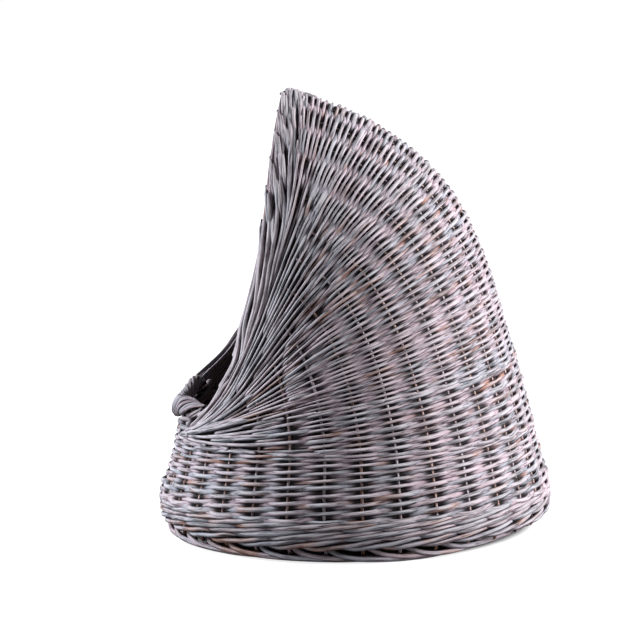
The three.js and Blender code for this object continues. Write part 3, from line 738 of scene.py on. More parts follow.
RIM_STRANDS = 12
RIM_LEAD = 620 * MM
RIM_THICKNESS = 3.0 * MM
RIM_BUTTS = np.array([0, 34, 76, 12, 96, 54, 120, 24, 86, 6, 108, 42]) * MM
RIM_LEFT_BUTTS = 0.3
RIM_BUTT_LIFT = 2 * MM
RIM_BUTT_LENGTH = 15 * MM
RIM_UPPER_PART = (0.55, 0.68)
RIM_UPPER_SINK = 2.5 * MM
RIM_RIGHT_BACK = 8 * MM
RIM_LEFT_AHEAD = 15 * MM
RIM_LEFT_FOOT_AHEAD = 13 * MM
RIM_BACKING_DEPTH = 2 * MM
RIM_STRIP_START = -0.1
RIM_STRIP_END = 0.9

# Right and left: count, share of the way up where they begin, and depth that sets how dark their
# painted shade is.
RIM_BACKING = {1: (5, 0.08, -0.5 * MM), -1: (15, 0, 2 * MM)}


def rim_shift(climb, side):
    """The hood sits a little askew: low down its near edge lies further back, its far one ahead."""
    if side > 0:
        return RIM_RIGHT_BACK * ease(0, 0.07, climb) * (1 - ease(0.2, 0.34, climb))
    ahead = RIM_LEFT_AHEAD * (1 - ease(0.05, 0.38, climb))
    ahead = ahead + RIM_LEFT_FOOT_AHEAD * (1 - ease(0, 0.16, climb))
    return -ahead * ease(-0.03, 0.06, climb)


def rim_strands(side, place, walked, shift, sizes, random):
    """Rods laid side by side up an edge.

    A strand lies across the strip by half of one less the cosine of its winding, and stands
    out by the winding's sine, a little more at its butt and less high up.
    """
    rods = []
    climb = walked / walked[-1]
    for number in range(RIM_STRANDS):
        kept = walked >= RIM_BUTTS[number] * (1 if side > 0 else RIM_LEFT_BUTTS)
        winding = 2 * np.pi * (walked / RIM_LEAD + number / RIM_STRANDS)
        winding = (winding + wander(random, walked / (30 * MM), 0.14))[kept]
        across = 0.5 - 0.5 * np.cos(winding)
        reach = 0.82 + 0.22 * ease(0, 0.25, climb[kept])
        points, normals = rim_spot(RIM_STRIP_START + reach * across, side * place[kept])
        lift = RIM_THICKNESS * np.sin(winding) + (1 + 1.2 * ease(0, 0.2, climb[kept])) * MM
        from_butt = walked[kept] - walked[kept][0]
        lift = lift + RIM_BUTT_LIFT * np.exp(-from_butt / RIM_BUTT_LENGTH)
        lift = lift - RIM_UPPER_SINK * ease(*RIM_UPPER_PART, climb[kept])
        radius = sizes.rim_radius * random.normal(0.88, 0.1)
        radius = radius * (1 + wander(random, from_butt / (60 * MM), 0.06))
        points[:, 1] += shift[kept] * (1 if side > 0 else 0.2 + across)
        rods.append(lifted_rod(points, normals, radius, random, lift))
    return rods


def rim_backing(side, place, climb, shift, sizes, random):
    """Straight rods behind the strands, on the right darker with painted shade and fewer."""
    rods = []
    count, start, depth = RIM_BACKING[side]
    kept = climb > start
    for across in np.linspace(RIM_STRIP_START, RIM_STRIP_END, count):
        weight = 1 if side > 0 else across - RIM_STRIP_START
        across = across + wander(random, climb[kept] * 6, 0.03)
        points, normals = rim_spot(across, side * place[kept])
        points = points - normals * RIM_BACKING_DEPTH
        points[:, 1] += shift[kept] * weight
        radius = sizes.rim_radius * (0.5 + 0.6 * ease(0, 0.4, climb[kept]))
        rods.append(rod(points, normals, radius, random.random(3), depth))
    return rods


def rim_rods(sizes, random):
    """Long rods up the right edge and the left one."""
    rods = []
    for side in (1, -1):
        place = np.linspace(0.985, 0.004, 230)
        walked = lengths_along(rim_spot(0.5, side * place)[0])
        climb = walked / walked[-1]
        shift = rim_shift(climb, side)
        rods += rim_strands(side, place, walked, shift, sizes, random)
        rods += rim_backing(side, place, climb, shift, sizes, random)
    return rods


RIM_PATCH_PITCH = np.array([36, 24]) * MM
RIM_PATCH_LENGTH = np.array([74, 44]) * MM
RIM_PATCH_START = 0.6
RIM_PATCH_PAST_END = 12 * MM
RIM_PATCH_SIZE = 0.78
RIM_PATCH_INSET = -1.5 * MM
RIM_PATCH_COLUMN_STEP = 9.5 * MM
RIM_PATCH_ROD_STEP = 3.9 * MM
RIM_PATCH_ROD_LEAD = 4 * MM
RIM_PATCH_SLANT = 13 * MM


def rim_patches(sizes, random):
    """Pairs of short rods laid like shingles, in two columns, up the upper part of each edge.

    A pair comes over the edge, runs down towards the hood and sinks under the next pair. The
    pairs' distance and length shrink evenly on the way up.
    """
    rods = []
    s = np.linspace(0, 1, 26)
    for side in (1, -1):
        place = np.linspace(0.985, 0.002, 400)
        edge, _ = rim_spot(1, side * place)
        walked = lengths_along(edge)
        for column in range(2):
            top = walked[-1] * RIM_PATCH_START + column * RIM_PATCH_PITCH[0] / 2
            while top < walked[-1] + RIM_PATCH_PAST_END:
                way_up = (top / walked[-1] - RIM_PATCH_START) / (1 - RIM_PATCH_START)
                length = np.interp(way_up, (0, 1), RIM_PATCH_LENGTH) * random.normal(1, 0.08)
                first = RIM_PATCH_INSET + RIM_PATCH_COLUMN_STEP * column
                first = first + random.normal(0, 0.8 * MM)
                for number in range(2):
                    at = top + (1 - number) * RIM_PATCH_ROD_LEAD - s * length
                    at = np.clip(at, 0, walked[-1])
                    here = np.interp(at, walked, place)
                    row, normals = rim_spot(0, side * here)
                    border, _ = rim_spot(1, side * here)
                    inward = first + number * RIM_PATCH_ROD_STEP + RIM_PATCH_SLANT * s
                    points = border + unit(row - border) * inward[:, None]
                    rise = ease(0, 0.2 + 0.1 * column, s) * (6.5 - column) - 7 * ease(0.5, 1, s)
                    lift = (rise - 1.8 + 0.8 * column + random.normal(0, 0.3)) * MM
                    radius = sizes.rim_radius * RIM_PATCH_SIZE * (0.65 + 0.35 * np.sin(np.pi * s))
                    radius = radius * random.normal(1, 0.1)
                    rods.append(lifted_rod(points, normals, radius, random, lift))
                top += np.interp(way_up, (0, 1), RIM_PATCH_PITCH) * random.normal(1, 0.06)
    return rods


CORNER_RODS = 12
CORNER_LIFT = 4.5 * MM
CORNER_SINK_LENGTH = 35 * MM
CORNER_BUTT_LIFT = 1.5 * MM
CORNER_BUTT_LENGTH = 25 * MM
CORNER_BACKING_RODS = 30
CORNER_BACKING_RADIUS = 1.9 * MM
CORNER_BACKING_DEPTH = 3.2 * MM


def corner_rods(side, sizes, random):
    """Thick rods that fan out of a corner over the row ends, along rows of the hood.

    Thin ones fill the gaps behind them, deep enough to be dark with painted shade.
    """
    rods = []
    for share in np.linspace(0.12, 0.97, CORNER_RODS):
        share = share + random.normal(0, 0.012)
        place = np.linspace(1.0, random.uniform(0.66, 0.84), 60)
        points, normals = hood_spot(share - 0.03 * (1 - place), turn_of(side * place))
        walked = lengths_along(points)
        end = ease(0, CORNER_SINK_LENGTH, walked[-1] - walked)
        lift = (CORNER_LIFT + random.normal(0, 0.8 * MM)) * (end * 1.6 - 0.6)
        lift = lift + CORNER_BUTT_LIFT * np.exp(-walked / CORNER_BUTT_LENGTH)
        radius = sizes.rim_radius * random.uniform(0.62, 0.95) * (0.5 + 0.5 * end)
        rods.append(lifted_rod(points, normals, radius, random, lift))
    for share in np.linspace(0.004, 0.97, CORNER_BACKING_RODS):
        place = np.linspace(1.0, random.uniform(0.62, 0.74), 50)
        points, normals = hood_spot(share, turn_of(side * place))
        radius = CORNER_BACKING_RADIUS
        rods.append(lifted_rod(points, normals, radius, random, -CORNER_BACKING_DEPTH))
    return rods


APEX_SLOPE = 20
APEX_BELOW_SUMMIT = 3 * MM
APEX_BUNDLE_RADIUS = 2.5 * MM
APEX_BUNDLE_ROD = 1.5 * MM
APEX_BUNDLE_ENDS = np.array([-2, 20]) * MM
APEX_WRAP_TURNS = 5
APEX_WRAP_PITCH = 3.4 * MM
APEX_WRAP_HALF_WIDTH = 6.2 * MM
APEX_WRAP_HALF_HEIGHT = 5.4 * MM
APEX_WRAP_ROD = 1.7 * MM
RIDGE_STRANDS = 4
RIDGE_STRAND_SPACING = 4.2 * MM
RIDGE_STRAND_RADIUS = 2.0 * MM
RIDGE_STRAND_SHARES = (0.995, 0.945)
RIDGE_STRAND_LIFT = 4 * MM
RIDGE_STRAND_SINK = 6 * MM


def apex_rods(random):
    """A bundle of rod ends at the tip, a thin rod wound round it, and strands down the ridge.

    The winding's centre moves back along the bundle by its pitch a turn.
    """
    rods = []
    slope = math.radians(APEX_SLOPE)
    back = np.array([0, math.cos(slope), -math.sin(slope)])
    upward = np.array([0, math.sin(slope), math.cos(slope)])
    right = np.array([1.0, 0, 0])
    tip = np.array([0, OUTLINE[-1, 1] * WIDEST_RADIUS, SUMMIT_HEIGHT - APEX_BELOW_SUMMIT])
    along = np.linspace(*APEX_BUNDLE_ENDS, 12)[:, None]
    for number in range(7):
        angle = number * np.pi / 3
        out = right * math.cos(angle) + upward * math.sin(angle)
        out = out * (APEX_BUNDLE_RADIUS if number else 0)
        line = tip + out + back * (along + random.uniform(-1.5, 1.5) * MM)
        rods.append(rod(line, upward, APEX_BUNDLE_ROD, random.random(3), 3 * MM))
    turns = np.linspace(0, APEX_WRAP_TURNS, APEX_WRAP_TURNS * 20)[:, None]
    angle = 2 * np.pi * turns
    sideways = right * np.cos(angle) * APEX_WRAP_HALF_WIDTH
    out = sideways + upward * np.sin(angle) * APEX_WRAP_HALF_HEIGHT
    centres = tip + out + back * (turns * APEX_WRAP_PITCH - 0.5 * MM)
    rods.append(rod(centres, unit(out), APEX_WRAP_ROD, random.random(3), 4 * MM))
    for number in range(RIDGE_STRANDS):
        x = (number - (RIDGE_STRANDS - 1) / 2) * RIDGE_STRAND_SPACING
        points, normals = hood_spot(np.linspace(*RIDGE_STRAND_SHARES, 24), turn_of(1e-6))
        points = points + right * x
        walked = lengths_along(points)
        lift = RIDGE_STRAND_LIFT - RIDGE_STRAND_SINK * ease(0.4, 1, walked / walked[-1])
        lift = lift - abs(x) / 4
        rods.append(lifted_rod(points, normals, RIDGE_STRAND_RADIUS, random, lift))
    return rods


BASE_LEVEL = 21 * MM
BASE_STICKS_PER_SET = 4
BASE_STICK_SPACING = 7 * MM
BASE_CROSS_HALF = 20 * MM
BASE_STICK_LIFT = 4.1 * MM
BASE_REACH = 198 * MM
BASE_ARMS = 4 * BASE_STICKS_PER_SET
BASE_STICK_DEPTH = 2 * MM
BASE_WEAVE_INNER = 29 * MM


def base_stick(number, lift, turned):
    """A base stick runs beside its fellows across the middle, then fans out to the edge."""
    middle = (BASE_STICKS_PER_SET - 1) / 2
    offset = (number - middle) * BASE_STICK_SPACING
    fan = math.radians((number - middle) * 90 / BASE_STICKS_PER_SET)
    end_x, end_y = math.sin(fan) * BASE_REACH, math.cos(fan) * BASE_REACH
    y = np.linspace(-end_y, end_y, 121)
    straight = np.interp(np.abs(y), (0, BASE_CROSS_HALF, end_y), (offset, offset, end_x))
    ahead = np.interp(np.abs(y) + 12 * MM, (0, BASE_CROSS_HALF, end_y), (offset, offset, end_x))
    x = (straight + ahead) / 2
    z = BASE_LEVEL + lift * (1 - ease(14 * MM, 34 * MM, np.hypot(x, y)))
    points = np.stack([x, y, z], -1)
    return points[:, [1, 0, 2]] if turned else points


def base_stick_rods(lift, turned, sizes, random):
    rods = []
    for number in range(BASE_STICKS_PER_SET):
        points = base_stick(number, lift, turned)
        tone = random.random(3)
        rods.append(rod(points, UPWARD, sizes.base_radius, tone, BASE_STICK_DEPTH))
    return rods


BASE_WEAVE_REACH = BASE_REACH + 9 * MM
BASE_WEAVE_PITCH = 4.3 * MM
BASE_WEAVER_RADIUS = 2.1 * MM
BASE_WEAVER_ARMS = 37


def base_weavers(sizes, random):
    """Pairing: two rods spiral out together, one over and one under each arm in turn.

    A new rod, with its own tone, begins after a fixed count of arms.
    """
    rods = []
    rounds = (BASE_WEAVE_REACH - BASE_WEAVE_INNER) / BASE_WEAVE_PITCH
    t = np.linspace(0, rounds * BASE_ARMS, int(rounds * BASE_ARMS * 5))
    spoke = level_direction(t * 2 * np.pi / BASE_ARMS)
    radius = BASE_WEAVER_RADIUS
    for number in range(2):
        lift = (sizes.base_radius + radius * 0.6) * np.cos(np.pi * (t - 0.5 + number))
        points = spoke * (BASE_WEAVE_INNER + BASE_WEAVE_PITCH * t / BASE_ARMS)[:, None]
        points[:, 2] = BASE_LEVEL + lift
        change = np.floor(np.concatenate([t[:1], t, t[-1:]]) / BASE_WEAVER_ARMS).astype(int)
        tone = random.random((change.max() + 1, 3))[change]
        tone = np.repeat(tone, ROD_SIDES, axis=0)
        rods.append(rod(points, UPWARD, radius, tone, np.abs(lift)))
    return rods


STAKE_BOTTOM = 9.4 * MM
STAKE_SINK_LENGTH = 30 * MM
STAKE_SINK_DEPTH = 7 * MM
STAKE_BUTT_SIZE = 1.1
STAKE_TAPER_PER_METRE = 0.35 / 0.6


def stake_path(number):
    """A stake's centre line: up the wall at its own turn, then up the hood's rows.

    The nearer it is to a corner, the lower on the hood it ends, at the latest where the rows
    crowd together. Its top sinks in behind the weave.
    """
    turn = float(number)
    points, normals = wall_spot(np.linspace(STAKE_BOTTOM, WALL_TOP, 24), turn)
    place = abs(place_of(turn))
    top = 1.0 if place <= 0.7 else 0.9 * float(np.clip((0.97 - place) / 0.27, 0, 1))
    if top > 0:
        shares = np.linspace(0.01, top, 70)
        roomy = crowding_at(shares, turn) > 0.2
        if not roomy.all():
            shares = shares[:max(2, int(np.argmin(roomy)))]
        hood_points, hood_normals = hood_spot(shares, turn)
        if place > 0.1:
            left = lengths_along(hood_points)
            sunk = 1 - ease(0, STAKE_SINK_LENGTH, left[-1] - left)
            hood_points = hood_points - hood_normals * (STAKE_SINK_DEPTH * sunk)[:, None]
        points = np.concatenate([points, hood_points])
        normals = np.concatenate([normals, hood_normals])
    return points, normals


def stake_rods(numbers, sizes, random):
    """Side stakes that taper evenly along their length."""
    rods = []
    for number in numbers:
        points, normals = stake_path(number)
        radius = STAKE_BUTT_SIZE - STAKE_TAPER_PER_METRE * lengths_along(points)
        rods.append(rod(points, normals, sizes.stake_radius * radius, random.random(3)))
    return rods


def radius_setting(name, description, default):
    """A rod's radius in the sidebar, at least a millimetre."""
    return bpy.props.FloatProperty(
        name=name,
        description=description,
        default=default,
        min=MM,
        unit="LENGTH",
    )


def share_setting(name, description, default, least, most):
    """A share in the sidebar."""
    return bpy.props.FloatProperty(
        name=name,
        description=description,
        default=default,
        min=least,
        max=most,
        subtype="FACTOR",
    )


def colour_setting(name, description, default):
    """An opaque colour in the sidebar."""
    return bpy.props.FloatVectorProperty(
        name=name,
        description=description,
        default=(*default, 1.0),
        min=0.0,
        max=1.0,
        size=4,
        subtype="COLOR",
    )


class BasketSizes(bpy.types.PropertyGroup):
    """Sizes of the rods that the basket is woven from."""

    stake_radius: radius_setting(
        "Stake radius", "Half the thickness of a side stake", 1.8 * MM)
    weaver_fullness: share_setting(
        "Weaver fullness", "Thickness of a weaver, as a share of its row's height", 1.15, 0.5, 1.5)
    wale_radius: radius_setting(
        "Wale radius", "Half the thickness of a wale rod", 2.8 * MM)
    foot_radius: radius_setting(
        "Foot radius", "Half the thickness of a rod of the foot border", 3.0 * MM)
    lip_radius: radius_setting(
        "Lip radius", "Half the thickness of a strand of the entrance lip", 2.7 * MM)
    rim_radius: radius_setting(
        "Rim radius", "Half the thickness of a rod beside the entrance edge", 2.9 * MM)
    base_radius: radius_setting(
        "Base stick radius", "Half the thickness of a base stick", 3.8 * MM)
    least_room: share_setting(
        "Least room", "Share of a row's height at which a crowded weaver ends", 0.57, 0.1, 1.0)


class BasketColours(bpy.types.PropertyGroup):
    """Colours of the washed willow and of its painted highlight and painted shade."""

    # Pale wash: partly the real wash on the rods' ridges and partly painted highlight on their
    # outer, upper sides.
    pale: colour_setting(
        "Pale wash", "Wash left on the ridges of the rods", (0.455, 0.435, 0.46))
    mauve: colour_setting(
        "Mauve rods", "Colour of the warmer rods", (0.4, 0.3, 0.345))
    slate: colour_setting(
        "Slate rods", "Colour of the cooler rods", (0.24, 0.255, 0.305))
    bark: colour_setting(
        "Bark", "Brown willow where the wash is thin", (0.27, 0.115, 0.075))
    # Crevice: painted shade, dark where a rod lies deep in the weave and on its flanks and back.
    crevice: colour_setting(
        "Crevice", "Dark shading between the rods and on their inner side", (0.009, 0.005, 0.007))


def feed(tree, socket, value):
    """Link a socket to another node's output, or set the socket's own value."""
    if isinstance(value, bpy.types.NodeSocket):
        tree.links.new(value, socket)
    else:
        socket.default_value = value


def shader_node(tree, kind, *values, **settings):
    """A node with its settings, whose first inputs take the values in turn."""
    node = tree.nodes.new("ShaderNode" + kind)
    for key, value in settings.items():
        setattr(node, key, value)
    for socket, value in zip(node.inputs, values):
        feed(tree, socket, value)
    return node


def math_node(tree, operation, *values):
    return shader_node(tree, "Math", *values, operation=operation).outputs[0]


def vector_node(tree, operation, *values):
    return shader_node(tree, "VectorMath", *values, operation=operation).outputs[0]


def step_between(tree, value, low, high):
    """0 below low, 1 above high, and a smooth step between."""
    node = shader_node(tree, "MapRange", value, low, high, interpolation_type="SMOOTHSTEP")
    return node.outputs["Result"]


def blend_colours(tree, factor, first, second):
    node = shader_node(tree, "Mix", factor, data_type="RGBA")
    feed(tree, node.inputs[6], first)
    feed(tree, node.inputs[7], second)
    return node.outputs[2]


def scaled_colour(tree, colour, factor):
    node = shader_node(tree, "VectorMath", colour, operation="SCALE")
    feed(tree, node.inputs["Scale"], factor)
    return node.outputs[0]


def noise(tree, vector, scale, detail, roughness):
    node = shader_node(tree, "TexNoise", vector)
    node.inputs["Scale"].default_value = scale
    node.inputs["Detail"].default_value = detail
    node.inputs["Roughness"].default_value = roughness
    return node.outputs[0]


WILLOW_COLOURS = ("Pale", "Mauve", "Slate", "Bark", "Crevice")
WILLOW_NUMBERS = ("Ridge", "Hollow", "Bareness", "Lightness")

# How often noise repeats in a metre along, out of and across a rod, and how far each of the
# three values of a rod's tone moves it on.
GRAIN_SCALE = (45, 650, 650)
GRAIN_SHIFT = (31, 47, 59)
PATCH_SCALE = (26, 60, 60)
PATCH_SHIFT = (83, 97, 71)
DRIFT_SCALE = 9.0


def washed_willow_group():
    """Colour, roughness and height of a washed rod, from its own tone, place and depth.

    The pale on the ridges is partly wash and partly painted highlight on the rods' outer, upper
    sides; painted shade darkens them between, behind and under the rods, and their inner sides
    are a darker brown, partly unwashed willow and partly painted shade. The place's second value
    is a corner's reach outwards. The depth less that is the rod's own lift.
    """
    tree = bpy.data.node_groups.new("Washed willow", "ShaderNodeTree")
    for name in WILLOW_COLOURS:
        tree.interface.new_socket(name, in_out="INPUT", socket_type="NodeSocketColor")
    for name in WILLOW_NUMBERS:
        tree.interface.new_socket(name, in_out="INPUT", socket_type="NodeSocketFloat")
    for name, kind in (("Colour", "Color"), ("Roughness", "Float"), ("Height", "Float")):
        tree.interface.new_socket(name, in_out="OUTPUT", socket_type="NodeSocket" + kind)
    given = tree.nodes.new("NodeGroupInput").outputs
    result = tree.nodes.new("NodeGroupOutput").inputs

    def times(first, second):
        return math_node(tree, "MULTIPLY", first, second)

    def times_add(first, second, rest):
        return math_node(tree, "MULTIPLY_ADD", first, second, rest)

    def less(first, second):
        return math_node(tree, "SUBTRACT", first, second)

    def step(value, low, high):
        return step_between(tree, value, low, high)

    def blend(factor, first, second):
        return blend_colours(tree, factor, first, second)

    def own(name, output):
        return shader_node(tree, "Attribute", attribute_name="rod_" + name).outputs[output]

    tone = own("tone", "Vector")
    place = own("place", "Vector")
    depth = own("depth", "Fac")
    upper = own("upper", "Fac")
    lightness, hue, seed = shader_node(tree, "SeparateXYZ", tone).outputs
    _, outward, sideways = shader_node(tree, "SeparateXYZ", place).outputs

    def rod_noise(scale, shift, detail, roughness):
        """Noise over the rod's own place, moved on by its tone."""
        scaled = vector_node(tree, "MULTIPLY", place, scale)
        moved = vector_node(tree, "MULTIPLY_ADD", tone, shift, scaled)
        return noise(tree, moved, 1.0, detail, roughness)

    # Grain runs along the rod, patches are a few centimetres long, and drifts of colour run
    # over the whole basket.
    grain = rod_noise(GRAIN_SCALE, GRAIN_SHIFT, 3.0, 0.6)
    patch = rod_noise(PATCH_SCALE, PATCH_SHIFT, 2.0, 0.5)
    coordinates = tree.nodes.new("ShaderNodeTexCoord")
    drift = noise(tree, coordinates.outputs["Object"], DRIFT_SCALE, 2.0, 0.5)
    streak = less(grain, 0.5)

    cool = times_add(patch, 0.6, times_add(drift, 1.6, hue))
    washed = blend(step(cool, 1.0, 2.2), given["Mauve"], given["Slate"])
    bare = times_add(drift, 0.55, times_add(seed, 0.35, patch))
    bare = step(times_add(given["Bareness"], 0.4, bare), 1.27, 1.55)
    coloured = blend(bare, washed, given["Bark"])

    reach = math_node(tree, "SQRT", times_add(sideways, sideways, times(outward, outward)))
    facing = math_node(tree, "DIVIDE", outward, reach)
    ragged = times_add(streak, 3.5 * MM, less(depth, outward))
    span = less(given["Ridge"], given["Hollow"])
    raised = math_node(tree, "DIVIDE", less(ragged, given["Hollow"]), span)
    turned = times_add(streak, 0.9, facing)
    over = times_add(streak, 1.6, upper)

    # Pale wash and painted highlight: high on the weave, facing out and facing up, the rod turns
    # pale.
    ridge = times(step(raised, 0.2, 1.0), step(turned, 0.1, 0.95))
    ridge = times(ridge, step(over, -0.7, 0.5))
    pale = blend(times(ridge, 0.72), coloured, given["Pale"])
    light = times(times_add(lightness, 0.6, 0.7), times_add(streak, 4.8, 1.0))
    light = math_node(tree, "MINIMUM", light, 1.15)
    # Painted shade: the rods' undersides fall to a fifth of the light.
    light = times(light, times_add(step(over, -0.95, 0.1), 0.8, 0.2))
    light = times(light, given["Lightness"])
    # Painted shade: deep in the weave and on flanks that turn away, the rod takes the crevice
    # colour.
    shown = times(step(raised, 0.1, 0.46), step(facing, -0.2, 0.6))
    outside = blend(shown, given["Crevice"], scaled_colour(tree, pale, light))

    # Inner faces: a darker brown, partly unwashed willow and partly painted shade.
    inner = less(1.0, step(turned, -1.0, -0.5))
    browned = blend(0.4, coloured, given["Bark"])
    shaded = scaled_colour(tree, browned, times_add(streak, 2.0, 0.52))
    feed(tree, result["Colour"], blend(inner, outside, shaded))
    feed(tree, result["Roughness"], times_add(grain, 0.35, 0.5))
    feed(tree, result["Height"], grain)
    return tree


# The depths in millimetres at which the ridges and the hollows of each willow lie, how bare it is
# and how light. Towards the ridge depth a rod takes the pale wash and painted highlight; towards
# the hollow depth it takes painted shade.
WILLOWS = {
    "Base": (5.0, -2.0, 0.9, 0.9),
    "Foot": (5.0, -1.0, 0.7, 0.9),
    "Stake": (2.0, -3.0, 1.3, 1.35),
    "Wale": (6.0, -3.4, 0.75, 0.95),
    "Wall": (5.0, -3.1, 0.6, 1.0),
    "Hood": (4.5, -2.6, 0.6, 1.0),
    "Border": (6.0, -3.0, 0.5, 0.78),
    "Rim": (4.5, -1.5, 0.2, 0.93),
}
GRAIN_HEIGHT = 0.6 * MM
GRAIN_STRENGTH = 0.75
SHEEN = 0.2


def willow(wood):
    """Washed willow of one of the kinds above, made once."""
    name = wood + " willow"
    known = bpy.data.materials.get(name)
    if known:
        return known
    material = bpy.data.materials.new(name)
    material.use_nodes = True
    tree = material.node_tree
    shader = tree.nodes["Principled BSDF"]
    wash = tree.nodes.new("ShaderNodeGroup")
    wash.node_tree = bpy.data.node_groups.get("Washed willow") or washed_willow_group()
    for socket in WILLOW_COLOURS:
        colour = getattr(bpy.context.scene.basket_colours, socket.lower())
        wash.inputs[socket].default_value = colour
    ridge, hollow, bareness, lightness = WILLOWS[wood]
    for socket, value in zip(WILLOW_NUMBERS, (ridge * MM, hollow * MM, bareness, lightness)):
        wash.inputs[socket].default_value = value
    bump = tree.nodes.new("ShaderNodeBump")
    bump.inputs["Distance"].default_value = GRAIN_HEIGHT
    bump.inputs["Strength"].default_value = GRAIN_STRENGTH
    feed(tree, bump.inputs["Height"], wash.outputs["Height"])
    feed(tree, shader.inputs["Base Color"], wash.outputs["Colour"])
    feed(tree, shader.inputs["Roughness"], wash.outputs["Roughness"])
    feed(tree, shader.inputs["Normal"], bump.outputs["Normal"])
    shader.inputs["Specular IOR Level"].default_value = SHEEN
    return material


# Each group of rods draws its random values from a generator of its own.
SEEDS = {
    "wall": 11,
    "stakes": 21,
    "wale": 31,
    "foot": 41,
    "lip": 51,
    "front rows": 52,
    "rim": 61,
    "rim patches": 62,
    "corner": 71,
    "apex": 81,
    "base": 91,
    "hood": 101,
}


def draws(group, number=0):
    """The random generator of a group, or of one of its numbered parts."""
    return np.random.default_rng(SEEDS[group] + number)


class BASKET_OT_wall(bpy.types.Operator):
    """Weave the round wall above the wale."""

    bl_idname = "basket.wall"
    bl_label = "Wall weave"

    def execute(self, context):
        rods = wall_weavers(context.scene.basket_sizes, draws("wall"))
        nodes = ("wall_weave_lower", "wall_weave_upper")
        make_piece("wall_weave", rods, "Wall", "willow_weave", *nodes)
        return {"FINISHED"}


class BASKET_OT_hood(bpy.types.Operator):
    """Weave the hood's courses, one piece each."""

    bl_idname = "basket.hood"
    bl_label = "Hood weave"

    def execute(self, context):
        sizes = context.scene.basket_sizes
        rows_below = 0
        for course in range(len(HOOD_ROW_HEIGHTS)):
            rods, rows = hood_weavers(course, rows_below, sizes, draws("hood", course))
            slot = "thin_willow_weave" if course % 2 else "willow_weave"
            name = f"hood_weave_course_{course + 1}"
            make_piece(name, rods, "Hood", slot, f"hood_weave_{course + 1}")
            rows_below += rows
        return {"FINISHED"}


class BASKET_OT_stakes(bpy.types.Operator):
    """Set the side stakes, in a right and a left half."""

    bl_idname = "basket.stakes"
    bl_label = "Side stakes"

    def execute(self, context):
        random = draws("stakes")
        half = STAKE_COUNT // 2
        numbers = {"right": range(half), "left": range(STAKE_COUNT - 1, half - 1, -1)}
        for side in numbers:
            rods = stake_rods(numbers[side], context.scene.basket_sizes, random)
            nodes = [f"stake_{side}_{k + 1:02d}" for k in range(half)]
            make_piece(f"side_stakes_{side}", rods, "Stake", "willow_stake", *nodes)
        return {"FINISHED"}


class BASKET_OT_wale(bpy.types.Operator):
    """Weave the bottom wale."""

    bl_idname = "basket.wale"
    bl_label = "Bottom wale"

    def execute(self, context):
        rods = wale_rods(context.scene.basket_sizes, draws("wale"))
        make_piece("bottom_wale_rods", rods, "Wale", "willow_wale", "bottom_wale")
        return {"FINISHED"}


class BASKET_OT_foot(bpy.types.Operator):
    """Lay the foot border."""

    bl_idname = "basket.foot"
    bl_label = "Foot border"

    def execute(self, context):
        rods = foot_rods(context.scene.basket_sizes, draws("foot"))
        make_piece("foot_border_rods", rods, "Foot", "willow_border", "foot_border")
        return {"FINISHED"}


class BASKET_OT_entrance(bpy.types.Operator):
    """Set the lip, the rim, the corner rods and the wrap of the apex."""

    bl_idname = "basket.entrance"
    bl_label = "Entrance border"

    def execute(self, context):
        sizes = context.scene.basket_sizes
        rods = lip_rods(sizes, draws("lip")) + front_rows(sizes, draws("front rows"))
        make_piece("lip_strands", rods, "Border", "willow_border", "lip_border")
        rods = rim_rods(sizes, draws("rim")) + rim_patches(sizes, draws("rim patches"))
        nodes = [f"rim_rod_{side}_{k + 1}" for side in ("right", "left") for k in range(4)]
        make_piece("rim_strands", rods, "Rim", "willow_border", *nodes)
        for side, name in ((1, "right"), (-1, "left")):
            rods = corner_rods(side, sizes, draws("corner", side))
            make_piece(f"corner_rods_{name}", rods, "Rim", "willow_weave", f"hood_corner_{name}")
        rods = apex_rods(draws("apex"))
        make_piece("apex_wrap_rods", rods, "Rim", "willow_border", "apex_wrap")
        return {"FINISHED"}


class BASKET_OT_base(bpy.types.Operator):
    """Cross the base sticks and weave the base disc round them."""

    bl_idname = "basket.base"
    bl_label = "Base"

    def execute(self, context):
        sizes = context.scene.basket_sizes
        random = draws("base")
        for name, lift in (("lower", -BASE_STICK_LIFT), ("upper", BASE_STICK_LIFT)):
            rods = base_stick_rods(lift, name == "upper", sizes, random)
            make_piece(f"base_cross_{name}", rods, "Base", "willow_base", f"base_sticks_{name}")
        rods = base_weavers(sizes, random)
        make_piece("base_disc_weave", rods, "Base", "willow_base", "base_weave")
        return {"FINISHED"}


CAMERA_PLACE = (3.4918, 0.2442, 0.769)
CAMERA_AIM = (0.0025, -0.03635, 0.23285)
CAMERA_ROLL = -1.39
CAMERA_LENS = 176.9

# Name, place, width in metres, power in watts and colour of each soft light.
LAMPS = (
    ("Key light", (0.15, 2.5, 1.3), 1.5, 166, (1.0, 0.98, 0.98)),
    ("Side light", (0.0, -2.4, 1.4), 1.3, 130, (0.93, 0.96, 1.0)),
)
LAMP_AIM = (0, 0, 0.2)
SKY_COLOUR = (0.95, 0.97, 1.0, 1)
SKY_STRENGTH = 0.065
WHITE = (1, 1, 1, 1)

# The paper glows from the basket's foot outwards, and more the further off it is.
FLOOR_REACH = 12.0
PAPER_GREY = (0.3, 0.3, 0.3, 1)
PAPER_FOOT = (0.186, 0.206)
PAPER_FAR = (0.22, 0.9)
PAPER_GLOW = 0.8
PAPER_FAR_GLOW = 0.25


def aimed(place, aim):
    """Matrix of a camera or a lamp that stands at a place and looks at its aim."""
    away = Vector(aim) - Vector(place)
    return Matrix.Translation(place) @ away.to_track_quat("-Z", "Y").to_matrix().to_4x4()


def seen_directly(tree):
    """1 for the camera's own rays and those that gloss and glass pass on."""
    path = tree.nodes.new("ShaderNodeLightPath")
    seen = math_node(tree, "MAXIMUM", path.outputs["Is Camera Ray"], path.outputs["Is Glossy Ray"])
    return math_node(tree, "MAXIMUM", seen, path.outputs["Is Transmission Ray"])


